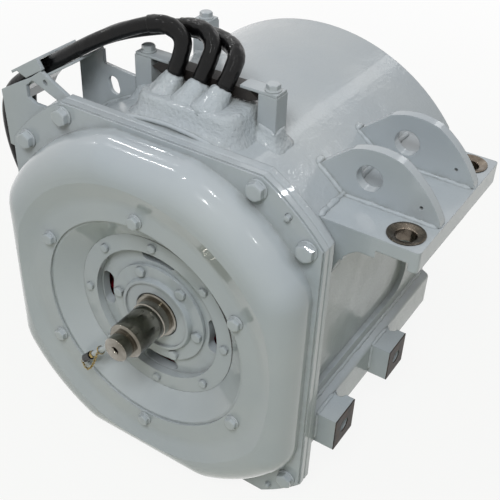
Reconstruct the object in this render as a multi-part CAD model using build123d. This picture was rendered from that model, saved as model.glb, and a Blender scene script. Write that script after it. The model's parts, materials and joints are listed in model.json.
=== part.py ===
from build123d import *
import math
import os

# Railway traction motor, in millimetres.
# X points to the side with the suspension bracket, Y runs along the shaft into
# the motor, and Z is up. The shaft's drive end points along -Y, and the origin
# lies on the shaft centreline in the plane of the air hood's mouth.

# Running clearances, and what is shared by many pieces
SEAT_GAP = 0.05
HOLE_GAP = 0.5
SOFT_GAP = 0.4
AIR_GAP = 1.0
WELD_SINK = 1.0
HOLE_SPARE = 6.0
NEAR = 0.01

# Stator frame: a round body with flats on its left, right and underside
STATOR_BORE_R = 150.0
CORE_BACK = 84.0
FRAME_WALL = 84.0
FRAME_BORE_R = STATOR_BORE_R + CORE_BACK
FRAME_R = FRAME_BORE_R + FRAME_WALL
FRAME_FRONT_Y = 70.0
FRAME_LENGTH = 464.0
FRAME_REAR_Y = FRAME_FRONT_Y + FRAME_LENGTH
FRAME_LEFT_FLAT = 46.0
FRAME_RIGHT_FLAT = 68.0
FRAME_BOTTOM_FLAT = 24.0
FRAME_LEFT_X = FRAME_LEFT_FLAT - FRAME_R
FRAME_RIGHT_X = FRAME_R - FRAME_RIGHT_FLAT
FRAME_BOTTOM_Z = FRAME_BOTTOM_FLAT - FRAME_R
DUCT_LAND = 16.0
DUCT_HEIGHT = 40.0
DUCT_INNER_R = FRAME_BORE_R + DUCT_LAND
DUCT_OUTER_R = DUCT_INNER_R + DUCT_HEIGHT
DUCT_HALF_ANGLE = 15.0
DUCT_ANGLES = (60, 120, -60, -120)
POCKET_HEIGHT = 270.0
POCKET_DROP = 132.0
POCKET_TOP_Z = FRAME_R - POCKET_DROP
POCKET_BOTTOM_Z = POCKET_TOP_Z - POCKET_HEIGHT
POCKET_SETBACK = 14.0
POCKET_END_SETBACK = 94.0
POCKET_DEPTH = 9.0
POCKET_CORNER_R = 40.0

# Flange that joins the frame, the drive end shield and the air hood
FLANGE_EAR = 40.0
FLANGE_LEFT_STEP = 12.0
FLANGE_RIGHT_STEP = 22.0
FLANGE_TOP_FLAT = 5.0
FLANGE_R = FRAME_R + FLANGE_EAR
FLANGE_LEFT_X = FRAME_LEFT_X - FLANGE_LEFT_STEP
FLANGE_RIGHT_X = FRAME_RIGHT_X + FLANGE_RIGHT_STEP
FLANGE_TOP_Z = FRAME_R - FLANGE_TOP_FLAT
FRAME_FLANGE_T = 13.0
SHIELD_FLANGE_T = 12.0
FLANGE_CHAMFER = 2.0
FLANGE_BOLT_INSET = 21.0
FLANGE_BOLT_PCR = FLANGE_R - FLANGE_BOLT_INSET
FLANGE_BOLT_ANGLES = (42.5, 60, 120, 137.5, -42.5, -137.5)
FLANGE_BOLT_R = 8.0
FLANGE_BOLT_AF = 24.0
FLANGE_WASHER_T = 3.0
JACK_SCREW_INSET = 14.0
JACK_SCREW_PCR = FLANGE_R - JACK_SCREW_INSET
JACK_SCREW_ANGLES = (51.0, -51.0)
JACK_SCREW_R = 5.0
JACK_SCREW_AF = 8.0
JACK_SCREW_LENGTH = 10.0
WASHER_MARGIN = 1.5
HEAD_SHARE = 1.25

# Air hood
HOOD_FOOT_T = 4.0
HOOD_SHEET_T = 4.0
HOOD_INSET = 2.0
HOOD_SETBACK = 7.0
HOOD_RIGHT_SETBACK = 9.0
HOOD_TOP_SETBACK = 10.0
HOOD_BOTTOM_SETBACK = 6.0
HOOD_BASE_R = FRAME_R - HOOD_SETBACK
HOOD_LEFT_X = FLANGE_LEFT_X + HOOD_SETBACK
HOOD_RIGHT_X = FLANGE_RIGHT_X - HOOD_RIGHT_SETBACK
HOOD_TOP_Z = FLANGE_TOP_Z - HOOD_TOP_SETBACK
HOOD_BOTTOM_Z = FRAME_BOTTOM_Z + HOOD_BOTTOM_SETBACK
HOOD_FRONT_Y = -6.0
HOOD_EDGE_R = 50.0
HOOD_CORNER_R = 78.0
HOOD_LIP_Y = 5.0
HOOD_LIP_W = 28.0
HOOD_LIP_FLAT_W = 36.0
HOOD_CROWN_W = 66.0
HOOD_LIP_BEND_R = 40.0
LIP_BOLT_INSET = 14.0
LIP_BOLT_ANGLES = (30, 90, 150, 210, 270, 330)
LIP_BOLT_R = 6.0
LIP_BOLT_AF = 18.0
LIP_BOLT_LENGTH = 14.0
LIP_WASHER_T = 2.5

# Drive end bearing, 70 x 125 x 24 cylindrical roller
DRIVE_BORE_R = 35.0
DRIVE_OUTER_R = 62.5
DRIVE_WIDTH = 24.0
DRIVE_BEARING_Y = 64.0
DRIVE_PITCH_R = 49.0
ROLLER_R = 6.5
ROLLER_LENGTH = 15.0
ROLLER_COUNT = 14
RACE_FLANGE = 3.0
ROLLER_CAGE_T = 4.0
ROLLER_CAGE_RECESS = 1.0
ROLLER_PLAY = 0.1

# Drive end shield, from its hub round the bearing out to the flange
HUB_WALL = 27.5
HUB_R = DRIVE_OUTER_R + HUB_WALL
WEB_FRONT_Y = 54.0
WEB_T = 12.0
WEB_CONE_W = 24.0
SLOT_LAND = 5.0
SLOT_W = 22.0
SLOT_INNER_R = HUB_R + SLOT_LAND
SLOT_OUTER_R = SLOT_INNER_R + SLOT_W
SLOT_HALF_ANGLE = 17.5
SLOT_COUNT = 4
SPIGOT_LENGTH = 12.0
SPIGOT_T = 14.0

# Inlet bowl behind the hood's mouth, and the flat ring that carries it
BOWL_FLANGE_T = 4.0
BOWL_T = 4.0
BOWL_PLATE_Y = 40.0
COLLAR_STEP = 1.0
BOWL_RING_W = 28.0
BOWL_FLARE = 36.0
MOUTH_STEP = 4.0
BOWL_COLLAR_R = SLOT_OUTER_R + COLLAR_STEP
BOWL_PLATE_R = BOWL_COLLAR_R + BOWL_RING_W
BOWL_MOUTH_R = BOWL_PLATE_R + BOWL_FLARE
HOOD_MOUTH_R = BOWL_MOUTH_R + MOUTH_STEP
HOOD_LIP_R = HOOD_MOUTH_R + HOOD_LIP_W
HOOD_LIP_FLAT_R = HOOD_MOUTH_R + HOOD_LIP_FLAT_W
HOOD_CROWN_R = HOOD_MOUTH_R + HOOD_CROWN_W
LIP_BOLT_PCR = HOOD_MOUTH_R + LIP_BOLT_INSET
LAND_INNER_STEP = 6.0
LAND_OUTER_STEP = 4.0
LAND_INNER_R = BOWL_COLLAR_R + LAND_INNER_STEP
LAND_OUTER_R = BOWL_PLATE_R - LAND_OUTER_STEP
RING_BOLT_PCR = (BOWL_COLLAR_R + BOWL_PLATE_R) / 2
RING_BOLT_COUNT = 8
RING_BOLT_R = 4.0
RING_BOLT_AF = 13.0
RING_BOLT_LENGTH = 14.0

# Bearing caps at the drive end
CAP_EDGE = 2.0
CAP_R = HUB_R - CAP_EDGE
CAP_T = 6.0
CAP_RIM_R = 64.0
CAP_RIM_Y = 40.0
CAP_RIM_W = 5.0
CAP_RIM_TAPER = 3.0
CAP_DISH = 4.0
CAP_BORE_R = 40.0
CAP_SPIGOT_W = 8.0
CAP_INSIDE_DEPTH = 2.0
CAP_BOLT_PCR = 77.0
CAP_BOLT_COUNT = 6
CAP_BOLT_TURN = 53.0
CAP_BOLT_R = 5.0
CAP_BOLT_AF = 16.0
INNER_CAP_T = 9.0
INNER_CAP_FACE_T = 5.0
INNER_CAP_BORE_R = 42.0
LABYRINTH_R = 39.0
LABYRINTH_Y = 41.0
LABYRINTH_T = 12.0
LABYRINTH_CHAMFER = 2.0

# Non-drive end shield and its 65 x 120 x 23 ball bearing
REAR_SHIELD_T = 14.0
REAR_SHIELD_STEP = 12.0
REAR_SHIELD_R = FRAME_R - REAR_SHIELD_STEP
REAR_SHIELD_EDGE = 3.0
REAR_INLET_INNER_R = 140.0
REAR_INLET_STEP = 28.0
REAR_INLET_OUTER_R = FRAME_BORE_R - REAR_INLET_STEP
REAR_INLET_HALF_ANGLE = 22.0
REAR_INLET_ANGLES = (30, 90, 150, 210, 270, 330)
REAR_BORE_R = 32.5
REAR_OUTER_R = 60.0
REAR_WIDTH = 23.0
REAR_BEARING_Y = 514.0
REAR_PITCH_R = 46.25
BALL_R = 8.5
BALL_COUNT = 11
BALL_GROOVE_R = 8.75
BALL_PLAY = 0.2
BALL_CAGE_T = 3.0
BALL_CAGE_HALF_W = 10.0
RACE_SHARE = 0.45
REAR_HUB_R = 86.0
REAR_LIP = 4.0
REAR_LIP_T = 3.0
REAR_CAP_T = 9.0
REAR_CAP_ROOM = 4.0
REAR_CAP_TAPER = 2.0
REAR_CAP_BOLT_PCR = 73.0
REAR_CAP_BOLT_GRIP = 12.0
REAR_BOLT_STEP = 8.0
REAR_BOLT_PCR = FRAME_BORE_R + REAR_BOLT_STEP
REAR_BOLT_COUNT = 12
REAR_BOLT_TURN = 15.0
REAR_BOLT_R = 5.0
REAR_BOLT_AF = 16.0
REAR_BOLT_GRIP = 18.0

# Shaft
SHAFT_R = 30.0
SHAFT_TIP_R = 21.0
SHAFT_TIP_Y = -57.0
SHAFT_STEP_Y = -35.0
SHAFT_COLLAR_R = 32.0
SHAFT_COLLAR_Y = 24.0
TIP_CHAMFER = 2.0
STEP_CHAMFER = 3.0
COLLAR_CHAMFER = 1.0
CENTRE_HOLE_R = 5.0
CENTRE_HOLE_DEPTH = 14.0
CENTRE_HOLE_MOUTH = 2.0
CENTRE_HOLE_CONE = 3.0
FAN_SEAT_R = 40.0
CORE_SEAT_R = 46.0
SHAFT_END_Y = 566.0
SHAFT_END_R = 22.0
SHAFT_END_SHOULDER = 4.0

# Rotor and stator cores
CORE_START_Y = 190.0
CORE_END_Y = 440.0
STATOR_SLOT_COUNT = 36
STATOR_SLOT_W = 11.0
STATOR_SLOT_DEPTH = 34.0
SLOT_MOUTH_DEPTH = 10.0
WINDING_GAP = 0.4
BAR_REACH = 10.0
BAR_RECESS = 2.0
OVERHANG = 46.0
OVERHANG_START = 6.0
OVERHANG_INNER_STEP = 6.0
OVERHANG_OUTER_STEP = 18.0
OVERHANG_STEP_R = 14.0
OVERHANG_STEP_Y = 16.0
OVERHANG_EDGE_R = 9.0
ROTOR_BAR_COUNT = 32
ROTOR_BAR_W = 6.0
ROTOR_BAR_DEPTH = 22.0
ROTOR_BAR_INSET = 17.0
ROTOR_BAR_PCR = STATOR_BORE_R - ROTOR_BAR_INSET
END_RING_LENGTH = 16.0
END_RING_GAP = 4.0
END_RING_MARGIN = 2.0
ROTOR_VENT_R = 10.0
ROTOR_VENT_PCR = 82.0
ROTOR_VENT_COUNT = 10

# Fan behind the drive end shield
FAN_HUB_Y = 106.0
FAN_HUB_LENGTH = 24.0
FAN_HUB_R = 58.0
FAN_DISC_Y = 112.0
FAN_DISC_T = 5.0
FAN_TIP_GAP = 38.0
FAN_R = FRAME_BORE_R - FAN_TIP_GAP
FAN_EYE_R = 104.0
FAN_BLADE_FRONT_Y = 86.0
FAN_BLADE_COUNT = 13
FAN_BLADE_T = 4.0

# Speed sensing at the non-drive end
TONE_WHEEL_R = 44.0
TONE_WHEEL_T = 8.0
TONE_WHEEL_SETBACK = 2.0
TONE_TOOTH_COUNT = 24
TONE_GAP_DEPTH = 4.5
TONE_GAP_W = 5.0
REAR_CAP_BORE_STEP = 8.0
SENSOR_R = 9.0
SENSOR_TIP_R = 6.0
SENSOR_LENGTH = 46.0
SENSOR_HEAD_STEP = 3.0
SENSOR_HEAD_LENGTH = 24.0
SENSOR_GAP = 1.0

# Suspension bracket
PLATE_DROP = 90.0
PLATE_REACH = 122.0
PLATE_TOP_Z = FRAME_R - PLATE_DROP
PLATE_OUTER_X = FRAME_RIGHT_X + PLATE_REACH
PLATE_T = 21.0
PLATE_CORNER_R = 6.0
PLATE_LIP_T = 14.0
PLATE_LIP_DROP = 12.0
PLATE_STEP_INSET = 62.0
PLATE_STEP_W = 24.0
BUSH_INSET = 34.5
BUSH_X = PLATE_OUTER_X - BUSH_INSET
BUSH_FRONT_Y = 163.0
BUSH_PITCH = 224.0
BUSH_YS = (BUSH_FRONT_Y, BUSH_FRONT_Y + BUSH_PITCH)
BUSH_R = 27.0
BUSH_BORE_R = 15.0
BUSH_DISH_R = 24.0
BUSH_DISH_DEPTH = 3.0
BUSH_BORE_EDGE = 1.0
BUSH_PROUD = 1.5
BUSH_RIM = 5.0
PLATE_FRONT_Y = BUSH_YS[0] - BUSH_R - BUSH_RIM
PLATE_REAR_Y = BUSH_YS[1] + BUSH_R + BUSH_RIM
BRACKET_ROOT = 40.0
LEG_ROOM = 14.0
LEG_DROP = 69.0
LEG_T = 26.0
RIB_T = 16.0
RIB_FRONT_YS = (200.0, 322.0)
RIB_HEAD_ROOM = 6.0
RIB_TOP_Z = FRAME_R - RIB_HEAD_ROOM
RIB_EYE_OUT = 9.0
RIB_EYE_DROP = 45.0
RIB_EYE_X = FRAME_RIGHT_X + RIB_EYE_OUT
RIB_EYE_Z = RIB_TOP_Z - RIB_EYE_DROP
RIB_EYE_R = 20.0
RIB_HEEL_IN = 72.0
RIB_HEEL_DROP = 50.0
RIB_SHOULDER_IN = 22.0
RIB_SHOULDER_DROP = 9.0
RIB_CROWN_OUT = 16.0
RIB_BEND_OUT = 54.0
RIB_BEND_DROP = 6.0
RIB_BOW_OUT = 90.0
RIB_BOW_DROP = 35.0
RIB_TOE_INSET = 4.0
RIB_TOE_H = 10.0
RIB_FOOT_INSET = 2.0
EARTH_HOLE_INSET = 33.0
EARTH_HOLE_H = 22.0
EARTH_HOLE_R = 2.5

# Side rail and mounting lugs
RAIL_T = 15.0
RAIL_OUTER_X = FRAME_RIGHT_X + RAIL_T
RAIL_TOP_Z = -113.0
RAIL_SLOPE = 8.0
RAIL_EDGE_R = 9.0
LUG_REACH = 35.0
LUG_OUTER_X = RAIL_OUTER_X + LUG_REACH
LUG_SIZE = 62.0
LUG_TOP_STEP = 2.0
LUG_YS = (137.0, 328.0)
LUG_HOLE_R = 12.0
LUG_HOLE_DEPTH = 28.0
LUG_NOTCH_R = 9.0

# Cable outlet on top of the frame
BOSS_FROM_LEFT = 280.0
BOSS_X = FRAME_LEFT_X + BOSS_FROM_LEFT
BOSS_Y = 150.0
BOSS_RISE = 25.0
BOSS_TOP_Z = FRAME_R + BOSS_RISE
BOSS_ROOT = 40.0
BOSS_W = 172.0
BOSS_L = 96.0
BOSS_TAPER = 24.0
BOSS_EDGE_R = 6.0
OUTLET_SLOT_W = 116.0
OUTLET_SLOT_L = 30.0
GLAND_R = 15.5
GLAND_LENGTH = 26.0
CABLE_R = 11.0
ARC_SHARE = 0.45

# Cable cleat posts beside and behind the outlet
POST_W = 30.0
POST_L = 28.0
POST_ROOT = 118.0
POST_LEFT_X = FRAME_LEFT_X + 170.0
POST_RIGHT_X = FRAME_LEFT_X + 385.0
POST_FRONT_Y = 174.0
POST_REAR_Y = 320.0
POST_TOP_Z = FRAME_R + 46.0
POST_REAR_TOP_Z = FRAME_R + 50.0
POST_PLACES = (
    (POST_LEFT_X, POST_FRONT_Y, POST_TOP_Z),
    (POST_RIGHT_X, POST_FRONT_Y, POST_TOP_Z),
    (POST_LEFT_X, POST_REAR_Y, POST_REAR_TOP_Z),
)
CLAMP_REACHES = (32.0, -32.0, 0.0)
CLAMP_PLATE_T = 4.0
CLAMP_INSET = 2.0
POST_BOLT_R = 6.0
POST_BOLT_AF = 18.0
POST_BOLT_LENGTH = 24.0
POST_WASHER_T = 2.5
CLEAT_Y = 162.0
CLEAT_DEPTH = 26.0
CLEAT_TOP_GAP = 0.5
CLEAT_TOP_Z = POST_TOP_Z - CLEAT_TOP_GAP
CLEAT_HEIGHT = 17.0
CLEAT_POINT = 16.0
CLEAT_POINT_SHARE = 0.4

# Cable bracket on the left shoulder. The outlines of its plates are points in X
# and Z, each counted from the frame's left face and from its top.
BRACKET_T = 6.0
BRACKET_REAR_Y = 169.0
FRONT_PLATE_OUTLINE = (
    (-52, -138), (-55, -42), (-23, -23), (14, -2), (36, 14), (58, 2), (86, -12), (102, -56), (10, -150),
    (-32, -142),
)
FRONT_PLATE_WINDOW = ((2, -39), (17, -46), (38, -46), (64, -25), (16, -7), (2, -19))
FRONT_PLATE_HOLE = (43, -3)
FRONT_PLATE_HOLE_R = 4.5
REAR_PLATE_LEFT = 41.0
REAR_PLATE_OUTLINE = ((91, 13), (122, 10), (152, 8), (152, -58))
REAR_PLATE_SLOT = (109, -19)
REAR_PLATE_SLOT_SIZE = (30.0, 20.0)
REAR_PLATE_SLOT_TURN = 105.0
SHOULDER_ROOT = 118.0
TRAY_T = 4.0
TRAY_START = -34.0
TRAY_BEND = 72.0
TRAY_TIP = 108.0
TRAY_TIP_DROP = 22.0
STRAP_T = 4.0
STRAP_START = 23.0
STRAP_END = 90.0
STRAP_LIP = 12.0
SKIRT_DROP = 4.0
SKIRT_LENGTH = 30.0

# Crimped cable lugs
LUG_BARREL_R = 12.0
LUG_BARREL_LENGTH = 40.0
LUG_PALM_LENGTH = 32.0
LUG_PALM_W = 23.0
LUG_PALM_T = 6.0
LUG_PALM_SINK = 4.0
LUG_EYE_R = 6.5

# Grease pipe, nipple and its cap
GREASE_ANGLE = -134.0
GREASE_PIPE_R = 5.0
GREASE_START_R = 51.0
GREASE_BEND_R = 16.0
GREASE_Y = -3.0
GREASE_END_R = 140.0
NIPPLE_R = 3.2
NIPPLE_LENGTH = 26.0
NIPPLE_HEX_R = 6.5
NIPPLE_HEX_LENGTH = 6.0
NIPPLE_CAP_START = 9.0
NIPPLE_CAP_R = 7.0
NIPPLE_CAP_LENGTH = 20.0
NIPPLE_CAP_ROOM = 1.5
NIPPLE_CAP_TIP_R = 3.0
NIPPLE_CAP_TIP_LENGTH = 6.0
CHAIN_R = 1.2
CHAIN_RING_PLACE = 24.0
CHAIN_END_PLACE = 32.0
CHAIN_FALL = 24.0
CHAIN_FORWARD = 4.0
CHAIN_LIFT = 0.8
CHAIN_BEND_R = 6.0

# Routes of the three phase cables, from the glands over the shoulder bracket and
# down the left side. X and Z are counted from the frame's left face and its top.
CABLE_POINTS = (
    (
        (234, 146, 32), (241, 158, 64), (242, 166, 93), (212, 157, 111), (168, 138, 97),
        (116, 121, 71), (57, 110, 32), (-18, 110, -15), (-73, 108, -63), (-78, 110, -153),
        (-46, 116, -248), (-20, 122, -348), (-18, 126, -448), (-17, 126, -530),
    ),
    (
        (277, 146, 32), (283, 162, 61), (284, 179, 88), (256, 192, 101), (210, 187, 94),
        (156, 164, 83), (107, 147, 64), (57, 134, 32), (-18, 134, -15), (-73, 132, -63),
        (-78, 135, -150), (-47, 142, -244), (-21, 150, -342), (-18, 153, -442), (-17, 153, -524),
    ),
    (
        (315, 146, 32), (322, 163, 58), (321, 183, 81), (290, 205, 84), (238, 214, 84),
        (180, 205, 80), (120, 184, 72), (57, 160, 32), (-18, 158, -15), (-73, 156, -63),
        (-78, 160, -147), (-48, 168, -240), (-22, 177, -336), (-18, 180, -436), (-17, 180, -520),
    ),
)
CABLE_ROUTES = tuple(
    tuple((FRAME_LEFT_X + x, y, FRAME_R + z) for x, y, z in points) for points in CABLE_POINTS
)
SHOULDER_RUN = (6, 7)


def export(shape, name):
    """Write one sub-part under its node name."""
    shape.label = name
    export_step(shape, os.path.join("parts", name + ".step"))


def turned(points):
    """A body turned about the shaft axis from points of radius and Y."""
    face = make_face(Polyline(*points, close=True))
    return revolve(face, Axis.Y)


def ring(inner_r, outer_r, y_front, y_rear):
    """A plain ring about the shaft axis."""
    return turned([(inner_r, y_front), (outer_r, y_front), (outer_r, y_rear), (inner_r, y_rear)])


def cross_plane(y):
    """A plane across the shaft whose sketch axes are X and Z."""
    return Plane(origin=(0, y, 0), x_dir=(1, 0, 0), z_dir=(0, -1, 0))


def slab(sketch, y_front, y_rear):
    """A sketch drawn in X and Z, extruded between two places along the shaft."""
    return extrude(cross_plane(y_rear) * sketch, y_rear - y_front)


def rod(x, z, radius, y_front, y_rear):
    """A round bar along the shaft direction."""
    return slab(Pos(x, z) * Circle(radius), y_front, y_rear)


def polar(radius, angle):
    """X and Z of a point at a radius and angle about the shaft."""
    turn = math.radians(angle)
    return radius * math.cos(turn), radius * math.sin(turn)


def circle_places(radius, count, start=0.0):
    """Evenly spaced places on a circle about the shaft."""
    return [polar(radius, start + 360.0 * i / count) for i in range(count)]


def limited_disc(radius, left, right, bottom, top):
    """A disc cut by flats, as an outline in X and Z."""
    window = Pos((left + right) / 2, (bottom + top) / 2) * Rectangle(right - left, top - bottom)
    return Circle(radius) & window


def hex_bolt(x, z, seat_y, radius, flats, length, washer=0.0):
    """A hexagon bolt whose head sits in front of seat_y and whose shank runs along Y."""
    corner_r = flats / math.sqrt(3)
    front = seat_y - washer
    body = slab(Pos(x, z) * RegularPolygon(corner_r, 6), front - radius * HEAD_SHARE, front)
    body += rod(x, z, radius, front, seat_y + length)
    if washer:
        body += rod(x, z, corner_r + WASHER_MARGIN, front, seat_y)
    return body


def upright_bolt(x, y, seat_z, radius, flats, length, washer):
    """A hexagon bolt standing on a seat, with its shank down along Z."""
    corner_r = flats / math.sqrt(3)
    body = Pos(x, y, seat_z + washer) * extrude(RegularPolygon(corner_r, 6), radius * HEAD_SHARE)
    body += Pos(x, y, seat_z) * extrude(Circle(corner_r + WASHER_MARGIN), washer)
    body += Pos(x, y, seat_z - length) * extrude(Circle(radius), length + washer)
    return body


def arc_slots(inner_r, outer_r, half_angle, angles):
    """Kidney-shaped slots about the shaft, as one sketch."""
    width = outer_r - inner_r
    middle = (inner_r + outer_r) / 2
    end_angle = math.degrees(width / 2 / middle)
    span = 2 * (half_angle - end_angle)
    shapes = Sketch()
    for angle in angles:
        arc = CenterArc((0, 0), middle, angle - span / 2, span)
        shapes += SlotArc(arc, width)
    return shapes


def flange_outline(inset=0.0):
    """The eared outline that frame, shield and hood share."""
    return limited_disc(
        FLANGE_R - inset,
        FLANGE_LEFT_X + inset,
        FLANGE_RIGHT_X - inset,
        FRAME_BOTTOM_Z + inset,
        FLANGE_TOP_Z - inset,
    )


def flange_holes(radius, y_front, y_rear):
    """The round holes of all flange bolts."""
    holes = Part()
    for angle in FLANGE_BOLT_ANGLES:
        holes += rod(*polar(FLANGE_BOLT_PCR, angle), radius, y_front, y_rear)
    return holes


def edge_chamfered_slab(outline, y_front, y_rear, size, at_front):
    """A slab whose outer edge is chamfered at one face."""
    body = slab(outline, y_front, y_rear)
    face_y = y_front if at_front else y_rear
    edges = body.edges().filter_by(lambda e: abs(e.center().Y - face_y) < NEAR)
    return chamfer(edges, size)


# Stator frame

def frame_outline(growth=0.0):
    return limited_disc(
        FRAME_R + growth, FRAME_LEFT_X - growth, FRAME_RIGHT_X + growth, FRAME_BOTTOM_Z, FRAME_R + growth
    )


def frame_envelope(growth=0.0):
    """The frame's outside, used to seat the pieces welded on it."""
    return slab(frame_outline(growth), FRAME_FRONT_Y, FRAME_REAR_Y)


def side_pocket():
    """The shallow cast pocket in the right side, under the bracket."""
    front = FRAME_FRONT_Y + FRAME_FLANGE_T + POCKET_SETBACK
    rear = FRAME_REAR_Y - POCKET_END_SETBACK
    outline = RectangleRounded(rear - front, POCKET_HEIGHT, POCKET_CORNER_R)
    place = Plane(
        origin=(FRAME_RIGHT_X - POCKET_DEPTH, (front + rear) / 2, POCKET_TOP_Z - POCKET_HEIGHT / 2),
        x_dir=(0, 1, 0),
        z_dir=(1, 0, 0),
    )
    return extrude(place * outline, 2 * POCKET_DEPTH)


def stator_frame():
    rear_of_flange = FRAME_FRONT_Y + FRAME_FLANGE_T
    body = slab(frame_outline(), rear_of_flange - WELD_SINK, FRAME_REAR_Y)
    body += edge_chamfered_slab(flange_outline(), FRAME_FRONT_Y, rear_of_flange, FLANGE_CHAMFER, True)
    body -= rod(0, 0, FRAME_BORE_R, FRAME_FRONT_Y, FRAME_REAR_Y)
    ducts = arc_slots(DUCT_INNER_R, DUCT_OUTER_R, DUCT_HALF_ANGLE, DUCT_ANGLES)
    body -= slab(ducts, FRAME_FRONT_Y, FRAME_REAR_Y)
    body -= side_pocket()
    body -= flange_holes(FLANGE_BOLT_R + SEAT_GAP, FRAME_FRONT_Y, rear_of_flange)
    body -= Pos(BOSS_X, BOSS_Y, FRAME_R) * Box(OUTLET_SLOT_W, OUTLET_SLOT_L, 2 * (FRAME_R - FRAME_BORE_R))
    hole_end = FRAME_REAR_Y - REAR_BOLT_GRIP - HOLE_SPARE
    for x, z in circle_places(REAR_BOLT_PCR, REAR_BOLT_COUNT, REAR_BOLT_TURN):
        body -= rod(x, z, REAR_BOLT_R + SEAT_GAP, hole_end, FRAME_REAR_Y)
    return body


# Air hood

def hood_form(inset, front_y):
    """The pillow-shaped hood, solid, with every face moved in by inset."""
    outline = limited_disc(
        HOOD_BASE_R - inset,
        HOOD_LEFT_X + inset,
        HOOD_RIGHT_X - inset,
        HOOD_BOTTOM_Z + inset,
        HOOD_TOP_Z - inset,
    )
    outline = fillet(outline.vertices(), HOOD_CORNER_R - inset)
    body = slab(outline, front_y, FRAME_FRONT_Y - SHIELD_FLANGE_T)
    front_edges = body.edges().filter_by(lambda e: abs(e.center().Y - front_y) < NEAR)
    body = fillet(front_edges, HOOD_EDGE_R - inset)
    lip_y = HOOD_LIP_Y + inset
    ahead_y = front_y - HOOD_EDGE_R
    crown = make_face(
        Polyline(
            (0, ahead_y),
            (HOOD_CROWN_R, ahead_y),
            (HOOD_CROWN_R, front_y),
            (HOOD_LIP_FLAT_R, lip_y),
            (0, lip_y),
            close=True,
        )
    )
    lip_corner = crown.vertices().sort_by_distance((HOOD_LIP_FLAT_R, lip_y, 0))[0]
    crown = fillet(lip_corner, HOOD_LIP_BEND_R)
    return body - revolve(crown, Axis.Y)


def air_hood():
    flange_front = FRAME_FRONT_Y - SHIELD_FLANGE_T
    foot = slab(flange_outline(HOOD_INSET), flange_front - HOOD_FOOT_T, flange_front)
    body = hood_form(0.0, HOOD_FRONT_Y) + foot
    body -= hood_form(HOOD_SHEET_T, HOOD_FRONT_Y + HOOD_SHEET_T)
    body -= rod(0, 0, HOOD_MOUTH_R, HOOD_FRONT_Y, flange_front)
    body -= flange_holes(FLANGE_BOLT_R + HOLE_GAP, flange_front - HOOD_FOOT_T, flange_front)
    for angle in LIP_BOLT_ANGLES:
        hole = rod(*polar(LIP_BOLT_PCR, angle), LIP_BOLT_R + HOLE_GAP, HOOD_LIP_Y, HOOD_LIP_Y + HOOD_SHEET_T)
        body -= hole
    for angle in JACK_SCREW_ANGLES:
        place = polar(JACK_SCREW_PCR, angle)
        body -= rod(*place, JACK_SCREW_R + HOLE_GAP, flange_front - HOOD_FOOT_T, flange_front)
    return body


def inlet_bowl():
    """Pressed bowl that carries the hood's mouth and narrows towards the end shield."""
    face_y = HOOD_LIP_Y + HOOD_SHEET_T
    body = turned(
        [
            (BOWL_MOUTH_R, face_y),
            (HOOD_LIP_R, face_y),
            (HOOD_LIP_R, face_y + BOWL_FLANGE_T),
            (BOWL_MOUTH_R + BOWL_T, face_y + BOWL_FLANGE_T),
            (BOWL_PLATE_R + BOWL_T, BOWL_PLATE_Y + BOWL_T),
            (BOWL_PLATE_R, BOWL_PLATE_Y + BOWL_T),
            (BOWL_PLATE_R, BOWL_PLATE_Y),
        ]
    )
    for angle in LIP_BOLT_ANGLES:
        body -= rod(*polar(LIP_BOLT_PCR, angle), LIP_BOLT_R + SEAT_GAP, face_y, face_y + BOWL_FLANGE_T)
    return body


def bowl_ring():
    """Flat ring welded in the bowl and bolted to the end shield, with a collar round its slots."""
    body = turned(
        [
            (BOWL_COLLAR_R, BOWL_PLATE_Y),
            (BOWL_PLATE_R - SEAT_GAP, BOWL_PLATE_Y),
            (BOWL_PLATE_R - SEAT_GAP, BOWL_PLATE_Y + BOWL_T),
            (BOWL_COLLAR_R + BOWL_T, BOWL_PLATE_Y + BOWL_T),
            (BOWL_COLLAR_R + BOWL_T, WEB_FRONT_Y),
            (BOWL_COLLAR_R, WEB_FRONT_Y),
        ]
    )
    for x, z in circle_places(RING_BOLT_PCR, RING_BOLT_COUNT):
        body -= rod(x, z, RING_BOLT_R + HOLE_GAP, BOWL_PLATE_Y, BOWL_PLATE_Y + BOWL_T)
    return body


# Drive end shield, bearing and caps

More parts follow.
